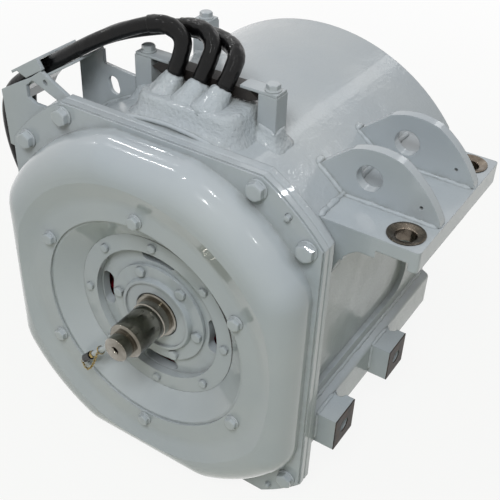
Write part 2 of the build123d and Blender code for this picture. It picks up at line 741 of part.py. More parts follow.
def drive_end_shield():
    front = FRAME_FRONT_Y - SHIELD_FLANGE_T
    body = edge_chamfered_slab(flange_outline(), front, FRAME_FRONT_Y, FLANGE_CHAMFER, False)
    bearing_rear = DRIVE_BEARING_Y + DRIVE_WIDTH
    land_y = BOWL_PLATE_Y + BOWL_T
    body += turned(
        [
            (DRIVE_OUTER_R + SEAT_GAP, WEB_FRONT_Y),
            (LAND_INNER_R, WEB_FRONT_Y),
            (LAND_INNER_R, land_y),
            (LAND_OUTER_R, land_y),
            (LAND_OUTER_R, WEB_FRONT_Y),
            (FRAME_BORE_R, front),
            (FRAME_BORE_R, FRAME_FRONT_Y),
            (FRAME_BORE_R - SEAT_GAP, FRAME_FRONT_Y),
            (FRAME_BORE_R - SEAT_GAP, FRAME_FRONT_Y + SPIGOT_LENGTH),
            (FRAME_BORE_R - SPIGOT_T, FRAME_FRONT_Y + SPIGOT_LENGTH),
            (FRAME_BORE_R - SPIGOT_T, FRAME_FRONT_Y),
            (HUB_R + WEB_CONE_W, WEB_FRONT_Y + WEB_T),
            (HUB_R, WEB_FRONT_Y + WEB_T),
            (HUB_R, bearing_rear),
            (DRIVE_OUTER_R + SEAT_GAP, bearing_rear),
        ]
    )
    body -= rod(0, 0, DRIVE_OUTER_R + SEAT_GAP, WEB_FRONT_Y, bearing_rear)
    slot_angles = [360.0 * i / SLOT_COUNT for i in range(SLOT_COUNT)]
    slots = arc_slots(SLOT_INNER_R, SLOT_OUTER_R, SLOT_HALF_ANGLE, slot_angles)
    body -= slab(slots, WEB_FRONT_Y, bearing_rear)
    windows = arc_slots(DUCT_INNER_R, DUCT_OUTER_R, DUCT_HALF_ANGLE, DUCT_ANGLES)
    body -= slab(windows, front, FRAME_FRONT_Y)
    body -= flange_holes(FLANGE_BOLT_R + HOLE_GAP, front, FRAME_FRONT_Y)
    for x, z in circle_places(RING_BOLT_PCR, RING_BOLT_COUNT):
        body -= rod(x, z, RING_BOLT_R + SEAT_GAP, land_y, land_y + RING_BOLT_LENGTH)
    for x, z in circle_places(CAP_BOLT_PCR, CAP_BOLT_COUNT, CAP_BOLT_TURN):
        body -= rod(x, z, CAP_BOLT_R + HOLE_GAP, WEB_FRONT_Y, bearing_rear)
    for angle in JACK_SCREW_ANGLES:
        body -= rod(*polar(JACK_SCREW_PCR, angle), JACK_SCREW_R + SEAT_GAP, front, FRAME_FRONT_Y)
    return body


def outer_bearing_cap():
    rear = DRIVE_BEARING_Y
    front = WEB_FRONT_Y - CAP_T
    inside = front + CAP_INSIDE_DEPTH
    body = turned(
        [
            (CAP_BORE_R, CAP_RIM_Y + CAP_DISH),
            (CAP_RIM_R - CAP_RIM_W, CAP_RIM_Y + CAP_DISH),
            (CAP_RIM_R - CAP_RIM_W, CAP_RIM_Y),
            (CAP_RIM_R, CAP_RIM_Y),
            (CAP_RIM_R + CAP_RIM_TAPER, front),
            (CAP_R, front),
            (CAP_R, WEB_FRONT_Y),
            (DRIVE_OUTER_R - SEAT_GAP, WEB_FRONT_Y),
            (DRIVE_OUTER_R - SEAT_GAP, rear),
            (DRIVE_OUTER_R - CAP_SPIGOT_W, rear),
            (DRIVE_OUTER_R - CAP_SPIGOT_W, inside),
            (CAP_BORE_R, inside),
        ]
    )
    for x, z in circle_places(CAP_BOLT_PCR, CAP_BOLT_COUNT, CAP_BOLT_TURN):
        body -= rod(x, z, CAP_BOLT_R + HOLE_GAP, front, WEB_FRONT_Y)
    return body


def inner_bearing_cap():
    front = DRIVE_BEARING_Y + DRIVE_WIDTH
    rear = front + INNER_CAP_T
    body = turned(
        [
            (DRIVE_OUTER_R - CAP_SPIGOT_W, front),
            (CAP_R, front),
            (CAP_R, rear),
            (INNER_CAP_BORE_R, rear),
            (INNER_CAP_BORE_R, rear - INNER_CAP_FACE_T),
            (DRIVE_OUTER_R - CAP_SPIGOT_W, rear - INNER_CAP_FACE_T),
        ]
    )
    for x, z in circle_places(CAP_BOLT_PCR, CAP_BOLT_COUNT, CAP_BOLT_TURN):
        body -= rod(x, z, CAP_BOLT_R + SEAT_GAP, front, rear)
    return body


def drive_bearing():
    """Outer race, inner race, rollers and cage of the drive end bearing."""
    front = DRIVE_BEARING_Y
    rear = front + DRIVE_WIDTH
    middle = (front + rear) / 2
    half = ROLLER_LENGTH / 2
    track_r = DRIVE_PITCH_R + ROLLER_R + SEAT_GAP
    flange_end = front + (DRIVE_WIDTH - ROLLER_LENGTH) / 2 - SEAT_GAP
    outer = ring(track_r, DRIVE_OUTER_R, front, rear)
    outer += ring(track_r - RACE_FLANGE, track_r + WELD_SINK, front, flange_end)
    outer += ring(track_r - RACE_FLANGE, track_r + WELD_SINK, front + rear - flange_end, rear)
    inner = ring(DRIVE_BORE_R + SEAT_GAP, DRIVE_PITCH_R - ROLLER_R - SEAT_GAP, front, rear)
    cage = ring(
        DRIVE_PITCH_R - ROLLER_CAGE_T / 2,
        DRIVE_PITCH_R + ROLLER_CAGE_T / 2,
        front + ROLLER_CAGE_RECESS,
        rear - ROLLER_CAGE_RECESS,
    )
    rollers = []
    for x, z in circle_places(DRIVE_PITCH_R, ROLLER_COUNT):
        pocket = rod(x, z, ROLLER_R + ROLLER_PLAY, middle - half - ROLLER_PLAY, middle + half + ROLLER_PLAY)
        cage -= pocket
        rollers.append(rod(x, z, ROLLER_R, middle - half, middle + half))
    return outer, inner, Compound(children=rollers), cage


def labyrinth_ring():
    """Grease slinger that turns with the shaft inside the outer cap."""
    return turned(
        [
            (SHAFT_COLLAR_R + SEAT_GAP, LABYRINTH_Y),
            (LABYRINTH_R - LABYRINTH_CHAMFER, LABYRINTH_Y),
            (LABYRINTH_R, LABYRINTH_Y + LABYRINTH_CHAMFER),
            (LABYRINTH_R, LABYRINTH_Y + LABYRINTH_T),
            (SHAFT_COLLAR_R + SEAT_GAP, LABYRINTH_Y + LABYRINTH_T),
        ]
    )


# Non-drive end shield, bearing, cap and speed sensor

def rear_end_shield():
    front = FRAME_REAR_Y
    rear = front + REAR_SHIELD_T
    outline = limited_disc(
        REAR_SHIELD_R,
        FRAME_LEFT_X + REAR_SHIELD_EDGE,
        FRAME_RIGHT_X - REAR_SHIELD_EDGE,
        FRAME_BOTTOM_Z + REAR_SHIELD_EDGE,
        REAR_SHIELD_R,
    )
    body = slab(outline, front, rear)
    body += ring(REAR_OUTER_R - REAR_LIP, REAR_HUB_R, REAR_BEARING_Y - REAR_LIP_T, rear)
    body += ring(FRAME_BORE_R - SPIGOT_T, FRAME_BORE_R - SEAT_GAP, front - SPIGOT_LENGTH, front)
    body -= ring(0, REAR_OUTER_R + SEAT_GAP, REAR_BEARING_Y, rear)
    windows = arc_slots(DUCT_INNER_R, DUCT_OUTER_R, DUCT_HALF_ANGLE, DUCT_ANGLES)
    inlets = arc_slots(REAR_INLET_INNER_R, REAR_INLET_OUTER_R, REAR_INLET_HALF_ANGLE, REAR_INLET_ANGLES)
    body -= slab(windows + inlets, front, rear)
    for x, z in circle_places(REAR_BOLT_PCR, REAR_BOLT_COUNT, REAR_BOLT_TURN):
        body -= rod(x, z, REAR_BOLT_R + HOLE_GAP, front, rear)
    hole_end = rear - REAR_CAP_BOLT_GRIP - HOLE_SPARE
    for x, z in circle_places(REAR_CAP_BOLT_PCR, CAP_BOLT_COUNT):
        body -= rod(x, z, CAP_BOLT_R + SEAT_GAP, hole_end, rear)
    return body


def rear_bearing():
    """Outer race, inner race, balls and cage of the non-drive end bearing."""
    middle = REAR_BEARING_Y + REAR_WIDTH / 2
    rear = REAR_BEARING_Y + REAR_WIDTH
    groove = revolve(Pos(REAR_PITCH_R, middle) * Circle(BALL_GROOVE_R), Axis.Y)
    outer = ring(REAR_PITCH_R + BALL_R * RACE_SHARE, REAR_OUTER_R, REAR_BEARING_Y, rear) - groove
    inner = ring(REAR_BORE_R + SEAT_GAP, REAR_PITCH_R - BALL_R * RACE_SHARE, REAR_BEARING_Y, rear) - groove
    cage = ring(
        REAR_PITCH_R - BALL_CAGE_T / 2,
        REAR_PITCH_R + BALL_CAGE_T / 2,
        middle - BALL_CAGE_HALF_W,
        middle + BALL_CAGE_HALF_W,
    )
    balls = []
    for x, z in circle_places(REAR_PITCH_R, BALL_COUNT):
        pocket = Plane(origin=(0, middle, 0), x_dir=(0, 1, 0), z_dir=(x, 0, z))
        cage -= extrude(pocket * Circle(BALL_R + BALL_PLAY), REAR_OUTER_R)
        balls.append(Pos(x, middle, z) * Sphere(BALL_R))
    return outer, inner, Compound(children=balls), cage


def rear_bearing_cap():
    """Cover over the bearing and tone wheel, bolted to the rear shield."""
    face = FRAME_REAR_Y + REAR_SHIELD_T
    bearing_rear = REAR_BEARING_Y + REAR_WIDTH
    inside = SHAFT_END_Y + REAR_CAP_ROOM
    outside = inside + REAR_CAP_T
    bore_r = TONE_WHEEL_R + REAR_CAP_BORE_STEP
    body = turned(
        [
            (0, inside),
            (bore_r, inside),
            (bore_r, bearing_rear),
            (REAR_OUTER_R - SEAT_GAP, bearing_rear),
            (REAR_OUTER_R - SEAT_GAP, face),
            (REAR_HUB_R, face),
            (REAR_HUB_R, face + REAR_CAP_T),
            (REAR_OUTER_R + REAR_CAP_TAPER, face + REAR_CAP_T),
            (REAR_OUTER_R, outside),
            (0, outside),
        ]
    )
    for x, z in circle_places(REAR_CAP_BOLT_PCR, CAP_BOLT_COUNT):
        body -= rod(x, z, CAP_BOLT_R + HOLE_GAP, face, face + REAR_CAP_T)
    return body - sensor_tip(SEAT_GAP) - sensor_head(SEAT_GAP)


def tone_wheel():
    """Toothed wheel on the shaft end that the speed sensor counts."""
    rear = SHAFT_END_Y - TONE_WHEEL_SETBACK
    front = rear - TONE_WHEEL_T
    body = ring(SHAFT_END_R + SEAT_GAP, TONE_WHEEL_R, front, rear)
    gap = Pos(TONE_WHEEL_R, 0) * Rectangle(2 * TONE_GAP_DEPTH, TONE_GAP_W)
    for i in range(TONE_TOOTH_COUNT):
        body -= slab(Rot(0, 0, 360.0 * i / TONE_TOOTH_COUNT) * gap, front, rear)
    return body


def sensor_place(z):
    """A plane across the sensor's axis, which points up from the tone wheel."""
    middle = SHAFT_END_Y - TONE_WHEEL_SETBACK - TONE_WHEEL_T / 2
    return Plane(origin=(0, middle, z), x_dir=(1, 0, 0), z_dir=(0, 0, 1))


def sensor_tip(growth=0.0):
    """The slim end of the speed sensor that reaches down to the tone wheel."""
    place = sensor_place(TONE_WHEEL_R + SENSOR_GAP)
    return extrude(place * Circle(SENSOR_TIP_R + growth), SENSOR_LENGTH)


def sensor_head(growth=0.0):
    place = sensor_place(REAR_OUTER_R + SENSOR_HEAD_STEP - growth)
    return extrude(place * Circle(SENSOR_R + growth), SENSOR_HEAD_LENGTH + growth)


def speed_sensor():
    """Speed sensor that reaches in radially over the tone wheel."""
    return sensor_tip() + sensor_head()


# Shaft, cores, winding and fan

def shaft():
    """Stepped shaft from the drive nose through both bearings to the tone wheel."""
    bearing_front = LABYRINTH_Y + LABYRINTH_T
    bearing_rear = DRIVE_BEARING_Y + DRIVE_WIDTH
    fan_rear = FAN_HUB_Y + FAN_HUB_LENGTH
    rear_bearing_end = REAR_BEARING_Y + REAR_WIDTH
    tone_seat = SHAFT_END_Y - TONE_WHEEL_SETBACK - TONE_WHEEL_T
    body = turned(
        [
            (0, SHAFT_TIP_Y),
            (SHAFT_TIP_R - TIP_CHAMFER, SHAFT_TIP_Y),
            (SHAFT_TIP_R, SHAFT_TIP_Y + TIP_CHAMFER),
            (SHAFT_TIP_R, SHAFT_STEP_Y),
            (SHAFT_R - STEP_CHAMFER, SHAFT_STEP_Y),
            (SHAFT_R, SHAFT_STEP_Y + STEP_CHAMFER),
            (SHAFT_R, SHAFT_COLLAR_Y),
            (SHAFT_COLLAR_R, SHAFT_COLLAR_Y + COLLAR_CHAMFER),
            (SHAFT_COLLAR_R, bearing_front),
            (DRIVE_BORE_R, bearing_front),
            (DRIVE_BORE_R, bearing_rear),
            (FAN_SEAT_R, bearing_rear),
            (FAN_SEAT_R, fan_rear),
            (CORE_SEAT_R, fan_rear),
            (CORE_SEAT_R, CORE_END_Y),
            (FAN_SEAT_R, CORE_END_Y),
            (FAN_SEAT_R, REAR_BEARING_Y),
            (REAR_BORE_R, REAR_BEARING_Y),
            (REAR_BORE_R, rear_bearing_end),
            (SHAFT_END_R + SHAFT_END_SHOULDER, rear_bearing_end),
            (SHAFT_END_R + SHAFT_END_SHOULDER, tone_seat),
            (SHAFT_END_R, tone_seat),
            (SHAFT_END_R, SHAFT_END_Y),
            (0, SHAFT_END_Y),
        ]
    )
    hole_end = SHAFT_TIP_Y + CENTRE_HOLE_DEPTH
    hole = turned(
        [
            (0, SHAFT_TIP_Y),
            (CENTRE_HOLE_R + CENTRE_HOLE_MOUTH, SHAFT_TIP_Y),
            (CENTRE_HOLE_R, SHAFT_TIP_Y + CENTRE_HOLE_CONE),
            (CENTRE_HOLE_R, hole_end),
            (0, hole_end + CENTRE_HOLE_CONE),
        ]
    )
    return body - hole


def rotor_bar_sketch(width, depth):
    shapes = Sketch()
    for i in range(ROTOR_BAR_COUNT):
        shapes += Rot(0, 0, 360.0 * i / ROTOR_BAR_COUNT) * Pos(ROTOR_BAR_PCR, 0) * Rectangle(depth, width)
    return shapes


def rotor_core():
    body = ring(CORE_SEAT_R + SEAT_GAP, STATOR_BORE_R - AIR_GAP, CORE_START_Y, CORE_END_Y)
    cut = rotor_bar_sketch(ROTOR_BAR_W + 2 * SEAT_GAP, ROTOR_BAR_DEPTH + 2 * SEAT_GAP)
    for x, z in circle_places(ROTOR_VENT_PCR, ROTOR_VENT_COUNT):
        cut += Pos(x, z) * Circle(ROTOR_VENT_R)
    return body - slab(cut, CORE_START_Y, CORE_END_Y)


def rotor_cage():
    """Squirrel cage: bars through the core, brazed to a ring at each end."""
    half = ROTOR_BAR_DEPTH / 2 + END_RING_MARGIN
    inner = ROTOR_BAR_PCR - half
    outer = ROTOR_BAR_PCR + half
    front = CORE_START_Y - END_RING_GAP
    rear = CORE_END_Y + END_RING_GAP
    body = slab(rotor_bar_sketch(ROTOR_BAR_W, ROTOR_BAR_DEPTH), front - WELD_SINK, rear + WELD_SINK)
    body += ring(inner, outer, front - END_RING_LENGTH, front)
    body += ring(inner, outer, rear, rear + END_RING_LENGTH)
    return body


def stator_slot_sketch(width, bottom_r):
    """The slots, drawn from well inside the bore out to their bottoms."""
    inner = STATOR_BORE_R - SLOT_MOUTH_DEPTH
    depth = bottom_r - inner
    middle = inner + depth / 2
    shapes = Sketch()
    for i in range(STATOR_SLOT_COUNT):
        shapes += Rot(0, 0, 360.0 * i / STATOR_SLOT_COUNT) * Pos(middle, 0) * Rectangle(depth, width)
    return shapes


def stator_core():
    body = ring(STATOR_BORE_R, FRAME_BORE_R - SEAT_GAP, CORE_START_Y, CORE_END_Y)
    slots = stator_slot_sketch(STATOR_SLOT_W, STATOR_BORE_R + STATOR_SLOT_DEPTH)
    return body - slab(slots, CORE_START_Y, CORE_END_Y)


def overhang_ring(core_face, direction):
    """The end turns of the winding, one thick formed ring."""
    inner = STATOR_BORE_R + OVERHANG_INNER_STEP
    outer = STATOR_BORE_R + STATOR_SLOT_DEPTH + OVERHANG_OUTER_STEP
    near = core_face + direction * OVERHANG_START
    step = near + direction * OVERHANG_STEP_Y
    far = core_face + direction * OVERHANG
    body = turned([(inner, near), (outer - OVERHANG_STEP_R, near), (outer, step), (outer, far), (inner, far)])
    rim = body.edges().filter_by(lambda e: abs(e.center().Y - far) < NEAR)
    return fillet(rim, OVERHANG_EDGE_R)


def stator_winding():
    bottom = STATOR_BORE_R + STATOR_SLOT_DEPTH - WINDING_GAP
    bars = stator_slot_sketch(STATOR_SLOT_W - 2 * WINDING_GAP, bottom)
    front = CORE_START_Y - BAR_REACH
    rear = CORE_END_Y + BAR_REACH
    body = slab(bars, front, rear) - rod(0, 0, STATOR_BORE_R + BAR_RECESS, front, rear)
    body += overhang_ring(CORE_START_Y, -1)
    body += overhang_ring(CORE_END_Y, 1)
    return body


def fan():
    """Radial fan with straight blades on a dished disc."""
    rear = FAN_DISC_Y + FAN_DISC_T
    body = ring(FAN_SEAT_R + SEAT_GAP, FAN_HUB_R, FAN_HUB_Y, FAN_HUB_Y + FAN_HUB_LENGTH)
    body += ring(FAN_HUB_R - WELD_SINK, FAN_R, FAN_DISC_Y, rear)
    blade = Pos((FAN_EYE_R + FAN_R) / 2, 0) * Rectangle(FAN_R - FAN_EYE_R, FAN_BLADE_T)
    for i in range(FAN_BLADE_COUNT):
        body += slab(Rot(0, 0, 360.0 * i / FAN_BLADE_COUNT) * blade, FAN_BLADE_FRONT_Y, FAN_DISC_Y + WELD_SINK)
    return body


# Suspension bracket, rail and lugs

def suspension_plate():
    """Thick plate that hangs the motor, with a stiff outer lip and curved legs at its ends."""
    root_x = FRAME_RIGHT_X - BRACKET_ROOT
    under = PLATE_TOP_Z - PLATE_T
    lip_bottom = under - PLATE_LIP_DROP
    lip_x = PLATE_OUTER_X - PLATE_LIP_T
    step_x = PLATE_OUTER_X - PLATE_STEP_INSET
    heel = (step_x - PLATE_STEP_W, lip_bottom)
    wall = (FRAME_RIGHT_X + LEG_ROOM, lip_bottom - PLATE_STEP_W)
    foot = (FRAME_RIGHT_X, lip_bottom - LEG_DROP)
    section = Curve() + [
        Polyline(
            wall, (root_x, wall[1]), (root_x, PLATE_TOP_Z), (PLATE_OUTER_X, PLATE_TOP_Z),
            (PLATE_OUTER_X, lip_bottom), (lip_x, lip_bottom), (lip_x, under), (step_x, under),
            (step_x, lip_bottom), heel,
        ),
        RadiusArc(heel, wall, -PLATE_STEP_W),
    ]
    body = slab(make_face(section), PLATE_FRONT_Y, PLATE_REAR_Y)
    leg_section = Curve() + [
        RadiusArc(heel, foot, -LEG_DROP),
        Polyline(foot, (root_x, foot[1]), (root_x, lip_bottom), heel),
    ]
    leg = make_face(leg_section)
    body += slab(leg, PLATE_FRONT_Y, PLATE_FRONT_Y + LEG_T)
    body += slab(leg, PLATE_REAR_Y - LEG_T, PLATE_REAR_Y)
    corners = body.edges().filter_by(Axis.Z).filter_by(lambda e: abs(e.center().X - PLATE_OUTER_X) < NEAR)
    body = fillet(corners, PLATE_CORNER_R)
    body -= frame_envelope(SEAT_GAP)
    for y in BUSH_YS:
        body -= Pos(BUSH_X, y, PLATE_TOP_Z) * Cylinder(BUSH_R + SEAT_GAP, 4 * PLATE_T)
    return body


def bracket_ribs():
    """Two gusset plates with lifting eyes, welded between the plate and the frame."""
    heel_x = FRAME_RIGHT_X - RIB_HEEL_IN
    heel = (heel_x, RIB_TOP_Z - RIB_HEEL_DROP)
    shoulder = (FRAME_RIGHT_X - RIB_SHOULDER_IN, RIB_TOP_Z - RIB_SHOULDER_DROP)
    crown = (FRAME_RIGHT_X + RIB_CROWN_OUT, RIB_TOP_Z)
    bend = (FRAME_RIGHT_X + RIB_BEND_OUT, RIB_TOP_Z - RIB_BEND_DROP)
    bow = (FRAME_RIGHT_X + RIB_BOW_OUT, RIB_TOP_Z - RIB_BOW_DROP)
    toe = (PLATE_OUTER_X - RIB_TOE_INSET, PLATE_TOP_Z + RIB_TOE_H)
    foot = (PLATE_OUTER_X - RIB_FOOT_INSET, PLATE_TOP_Z)
    edge = Curve() + [
        Line(heel, shoulder),
        ThreePointArc(shoulder, crown, bend),
        ThreePointArc(bend, bow, toe),
        Polyline(toe, foot, (heel_x, PLATE_TOP_Z), heel),
    ]
    outline = make_face(edge)
    outline -= Pos(RIB_EYE_X, RIB_EYE_Z) * Circle(RIB_EYE_R)
    outline -= Pos(PLATE_OUTER_X - EARTH_HOLE_INSET, PLATE_TOP_Z + EARTH_HOLE_H) * Circle(EARTH_HOLE_R)
    seat = frame_envelope(SEAT_GAP)
    return [slab(outline, y, y + RIB_T) - seat for y in RIB_FRONT_YS]


def bracket_bushes():
    """Hardened bushes pressed in the plate, with dished tops."""
    bottom = PLATE_TOP_Z - PLATE_T
    top = PLATE_TOP_Z + BUSH_PROUD
    dish = top - BUSH_DISH_DEPTH
    section = make_face(
        Polyline(
            (BUSH_BORE_R, bottom),
            (BUSH_R, bottom),
            (BUSH_R, top),
            (BUSH_DISH_R, top),
            (BUSH_BORE_R + BUSH_BORE_EDGE, dish),
            (BUSH_BORE_R, dish - BUSH_BORE_EDGE),
            close=True,
        )
    )
    bush = revolve(Plane.XZ * section, Axis.Z)
    return Compound(children=[Pos(BUSH_X, y, 0) * bush for y in BUSH_YS])


def side_rail():
    """Bar along the lower right edge of the frame that carries the lugs."""
    bottom = -math.sqrt(FRAME_R**2 - RAIL_OUTER_X**2)
    foot = -math.sqrt(FRAME_R**2 - FRAME_RIGHT_X**2)
    section = make_face(
        Polyline(
            (FRAME_RIGHT_X + SEAT_GAP, RAIL_TOP_Z + RAIL_SLOPE),
            (RAIL_OUTER_X, RAIL_TOP_Z),
            (RAIL_OUTER_X, bottom),
            (FRAME_RIGHT_X + SEAT_GAP, foot),
            close=True,
        )
    )
    body = slab(section, FRAME_FRONT_Y + FRAME_FLANGE_T, FRAME_REAR_Y)
    ridge = body.edges().filter_by(Axis.Y).sort_by_distance((RAIL_OUTER_X, FRAME_FRONT_Y, RAIL_TOP_Z))[0]
    return fillet(ridge, RAIL_EDGE_R)


def mounting_lugs():
    """Two machined blocks on the rail, each tapped for a fixing bolt."""
    lugs = []
    top_z = RAIL_TOP_Z - LUG_TOP_STEP
    middle_z = top_z - LUG_SIZE / 2
    for y in LUG_YS:
        block = Pos((LUG_OUTER_X + RAIL_OUTER_X) / 2, y, middle_z) * Box(LUG_REACH, LUG_SIZE, LUG_SIZE)
        block -= Pos(RAIL_OUTER_X + LUG_NOTCH_R, y + LUG_SIZE / 2, top_z) * Cylinder(LUG_NOTCH_R, LUG_SIZE)
        hole = Plane(origin=(LUG_OUTER_X - LUG_HOLE_DEPTH, y, middle_z), x_dir=(0, 1, 0), z_dir=(1, 0, 0))
        block -= extrude(hole * Circle(LUG_HOLE_R), LUG_HOLE_DEPTH)
        lugs.append(block)
    return Compound(children=lugs)


# Cable outlet, cleats, shoulder bracket and cables

def lean(route):
    """Direction in which a cable leaves its gland."""
    return (Vector(*route[1]) - Vector(*route[0])).normalized()


def gland(route, growth=0.0):
    axis = lean(route)
    foot = Vector(*route[0]) - axis * GLAND_LENGTH
    place = Plane(origin=foot, z_dir=axis)
    return extrude(place * Circle(GLAND_R + growth), GLAND_LENGTH + growth)


def outlet_boss():
    """Cast cover over the cable outlet, with sloping sides."""
    foot_z = FRAME_R - BOSS_ROOT
    foot = Pos(BOSS_X, BOSS_Y, foot_z) * Rectangle(BOSS_W + BOSS_TAPER, BOSS_L + BOSS_TAPER)
    crown = Pos(BOSS_X, BOSS_Y, BOSS_TOP_Z) * Rectangle(BOSS_W - BOSS_TAPER, BOSS_L - BOSS_TAPER)
    body = loft(Sketch() + [foot, crown])
    body = fillet(body.edges().filter_by(lambda e: e.center().Z > foot_z + NEAR), BOSS_EDGE_R)
    body -= frame_envelope(SEAT_GAP)
    for route in CABLE_ROUTES:
        body -= gland(route, SEAT_GAP)
    for x, y, top in POST_PLACES:
        body -= Pos(x, y, top) * Box(POST_W + 2 * SEAT_GAP, POST_L + 2 * SEAT_GAP, 2 * POST_ROOT)
    return body


def cleat_posts():
    """Square posts welded on the frame, tapped for the clamp bolts."""
    posts = []
    seat = frame_envelope(SEAT_GAP)
    for x, y, top in POST_PLACES:
        block = Pos(x, y, top - POST_ROOT / 2) * Box(POST_W, POST_L, POST_ROOT)
        depth = POST_BOLT_LENGTH + HOLE_SPARE
        hole = Pos(x, y, top - depth / 2) * Cylinder(POST_BOLT_R + SEAT_GAP, depth)
        posts.append(block - seat - hole)
    return Compound(children=posts)


def clamp_plates():
    """Plates under the post bolts; the front two reach over the ends of the cleat."""
    plates = []
    for (x, y, top), reach in zip(POST_PLACES, CLAMP_REACHES):
        size = POST_W - CLAMP_INSET + abs(reach)
        plate = Pos(x + reach / 2, y, top + CLAMP_PLATE_T / 2) * Box(size, POST_L - CLAMP_INSET, CLAMP_PLATE_T)
        plates.append(plate - Pos(x, y, top) * Cylinder(POST_BOLT_R + HOLE_GAP, 4 * CLAMP_PLATE_T))
    return Compound(children=plates)


def clamp_bolts():
    bolts = []
    for x, y, top in POST_PLACES:
        seat = top + CLAMP_PLATE_T
        bolts.append(upright_bolt(x, y, seat, POST_BOLT_R, POST_BOLT_AF, POST_BOLT_LENGTH, POST_WASHER_T))
    return Compound(children=bolts)


def cable_cleat():
    """Rubber bar that the cables lean on, wedged between the two front posts."""
    left = POST_LEFT_X + POST_W / 2 + SOFT_GAP
    right = POST_RIGHT_X - POST_W / 2 - SOFT_GAP
    top = CLEAT_TOP_Z
    bottom = top - CLEAT_HEIGHT
    point_z = bottom + CLEAT_HEIGHT * CLEAT_POINT_SHARE
    section = make_face(
        Polyline(
            (left, point_z),
            (left + CLEAT_POINT, top),
            (right - CLEAT_POINT, top),
            (right, point_z),
            (right - CLEAT_POINT, bottom),
            (left + CLEAT_POINT, bottom),
            close=True,
        )
    )
    body = slab(section, CLEAT_Y, CLEAT_Y + CLEAT_DEPTH)
    for route in CABLE_ROUTES:
        start = Plane(origin=route[0], z_dir=lean(route))
        body -= extrude(start * Circle(CABLE_R + SOFT_GAP), 2 * CLEAT_HEIGHT)
    return body


def along(offset, distance, drop=0.0):
    """X and Z of a point beside the cables' run over the shoulder.

    The offset is square to the run, the distance is along it, and the drop is down.
    """
    before, after = (CABLE_ROUTES[0][i] for i in SHOULDER_RUN)
    run, rise = after[0] - before[0], after[2] - before[2]
    length = math.hypot(run, rise)
    run, rise = run / length, rise / length
    return before[0] - rise * offset + run * distance, before[2] + run * offset + rise * distance - drop


def shoulder_points(points):
    """Points counted from the frame's left face and its top, as X and Z."""
    return [(FRAME_LEFT_X + x, FRAME_R + z) for x, z in points]


def bracket_front_plate():
    """Shoulder plate behind the flange ear, with an opening under its brace."""
    rear = FRAME_FRONT_Y + FRAME_FLANGE_T
    outline = make_face(Polyline(*shoulder_points(FRONT_PLATE_OUTLINE), close=True))
    outline -= make_face(Polyline(*shoulder_points(FRONT_PLATE_WINDOW), close=True))
    hole = shoulder_points([FRONT_PLATE_HOLE])[0]
    outline -= Pos(*hole) * Circle(FRONT_PLATE_HOLE_R)
    return slab(outline, rear, rear + BRACKET_T) - frame_envelope(SEAT_GAP)


def bracket_rear_plate():
    """Plate across the shoulder that carries the back of the cable tray."""
    under = CABLE_R + SOFT_GAP + TRAY_T
    corner = along(under, BRACKET_T * 3)
    peak = along(under, TRAY_START + TRAY_T)
    left = FRAME_LEFT_X + REAR_PLATE_LEFT
    foot = FRAME_R - SHOULDER_ROOT
    outline = make_face(
        Polyline(
            (left, foot), (left, corner[1]), corner, peak, *shoulder_points(REAR_PLATE_OUTLINE), close=True
        )
    )
    slot = shoulder_points([REAR_PLATE_SLOT])[0]
    outline -= Pos(*slot) * Rot(0, 0, REAR_PLATE_SLOT_TURN) * SlotOverall(*REAR_PLATE_SLOT_SIZE)
    return slab(outline, BRACKET_REAR_Y - BRACKET_T, BRACKET_REAR_Y) - frame_envelope(SEAT_GAP)


def cable_tray():
    """Bent sheet under the three cables between the two shoulder plates."""
    front = FRAME_FRONT_Y + FRAME_FLANGE_T + BRACKET_T
    top = CABLE_R + SOFT_GAP
    low = top + TRAY_T
    bend_drop = TRAY_TIP_DROP / 3
    between = (TRAY_BEND + TRAY_TIP) / 2
    outline = make_face(
        Polyline(
            along(top, TRAY_START),
            along(top, TRAY_BEND),
            along(top, between, bend_drop),
            along(top, TRAY_TIP, TRAY_TIP_DROP),
            along(low, TRAY_TIP - TRAY_T, TRAY_TIP_DROP),
            along(low, between - TRAY_T / 2, bend_drop),
            along(low, TRAY_BEND - TRAY_T / 4),
            along(low, TRAY_START),
            close=True,
        )
    )
    return slab(outline, front, BRACKET_REAR_Y - BRACKET_T)


def cable_strap():
    """Cover plate over the cables, with a bent lip and a skirt down to the front plate."""
    front = FRAME_FRONT_Y + FRAME_FLANGE_T
    low = -(CABLE_R + SOFT_GAP)
    high = low - STRAP_T
    corner = STRAP_END - STRAP_LIP
    cover = make_face(
        Polyline(
            along(low, STRAP_START), along(low, STRAP_END), along(high, STRAP_END), along(high, STRAP_START),
            close=True,
        )
    )
    skirt = make_face(
        Polyline(
            along(low, STRAP_START),
            along(low, corner),
            along(SKIRT_DROP, corner - STRAP_LIP),
            along(SKIRT_DROP, STRAP_START),
            close=True,
        )
    )
    return slab(cover, front, BRACKET_REAR_Y) + slab(skirt, front, front + BRACKET_T)


def cable_tube(route):
    """Round cable along straight runs joined by arcs as large as the runs allow."""
    points = [Vector(*p) for p in route]
    radii = []
    for before, here, after in zip(points, points[1:], points[2:]):
        run = min((here - before).length, (after - here).length)
        turn = (here - before).get_angle(after - here)
        radii.append(ARC_SHARE * run / math.tan(math.radians(turn / 2)))
    path = FilletPolyline(*points, radius=radii)
    start = Plane(origin=points[0], z_dir=lean(route))
    tube = sweep(start * Circle(CABLE_R), path=path)
    section = math.pi * CABLE_R**2
    print("cable length", round(path.length), "smallest arc", round(min(radii), 1))
    print("volume over section times length", round(tube.volume / (section * path.length), 4))
    return tube


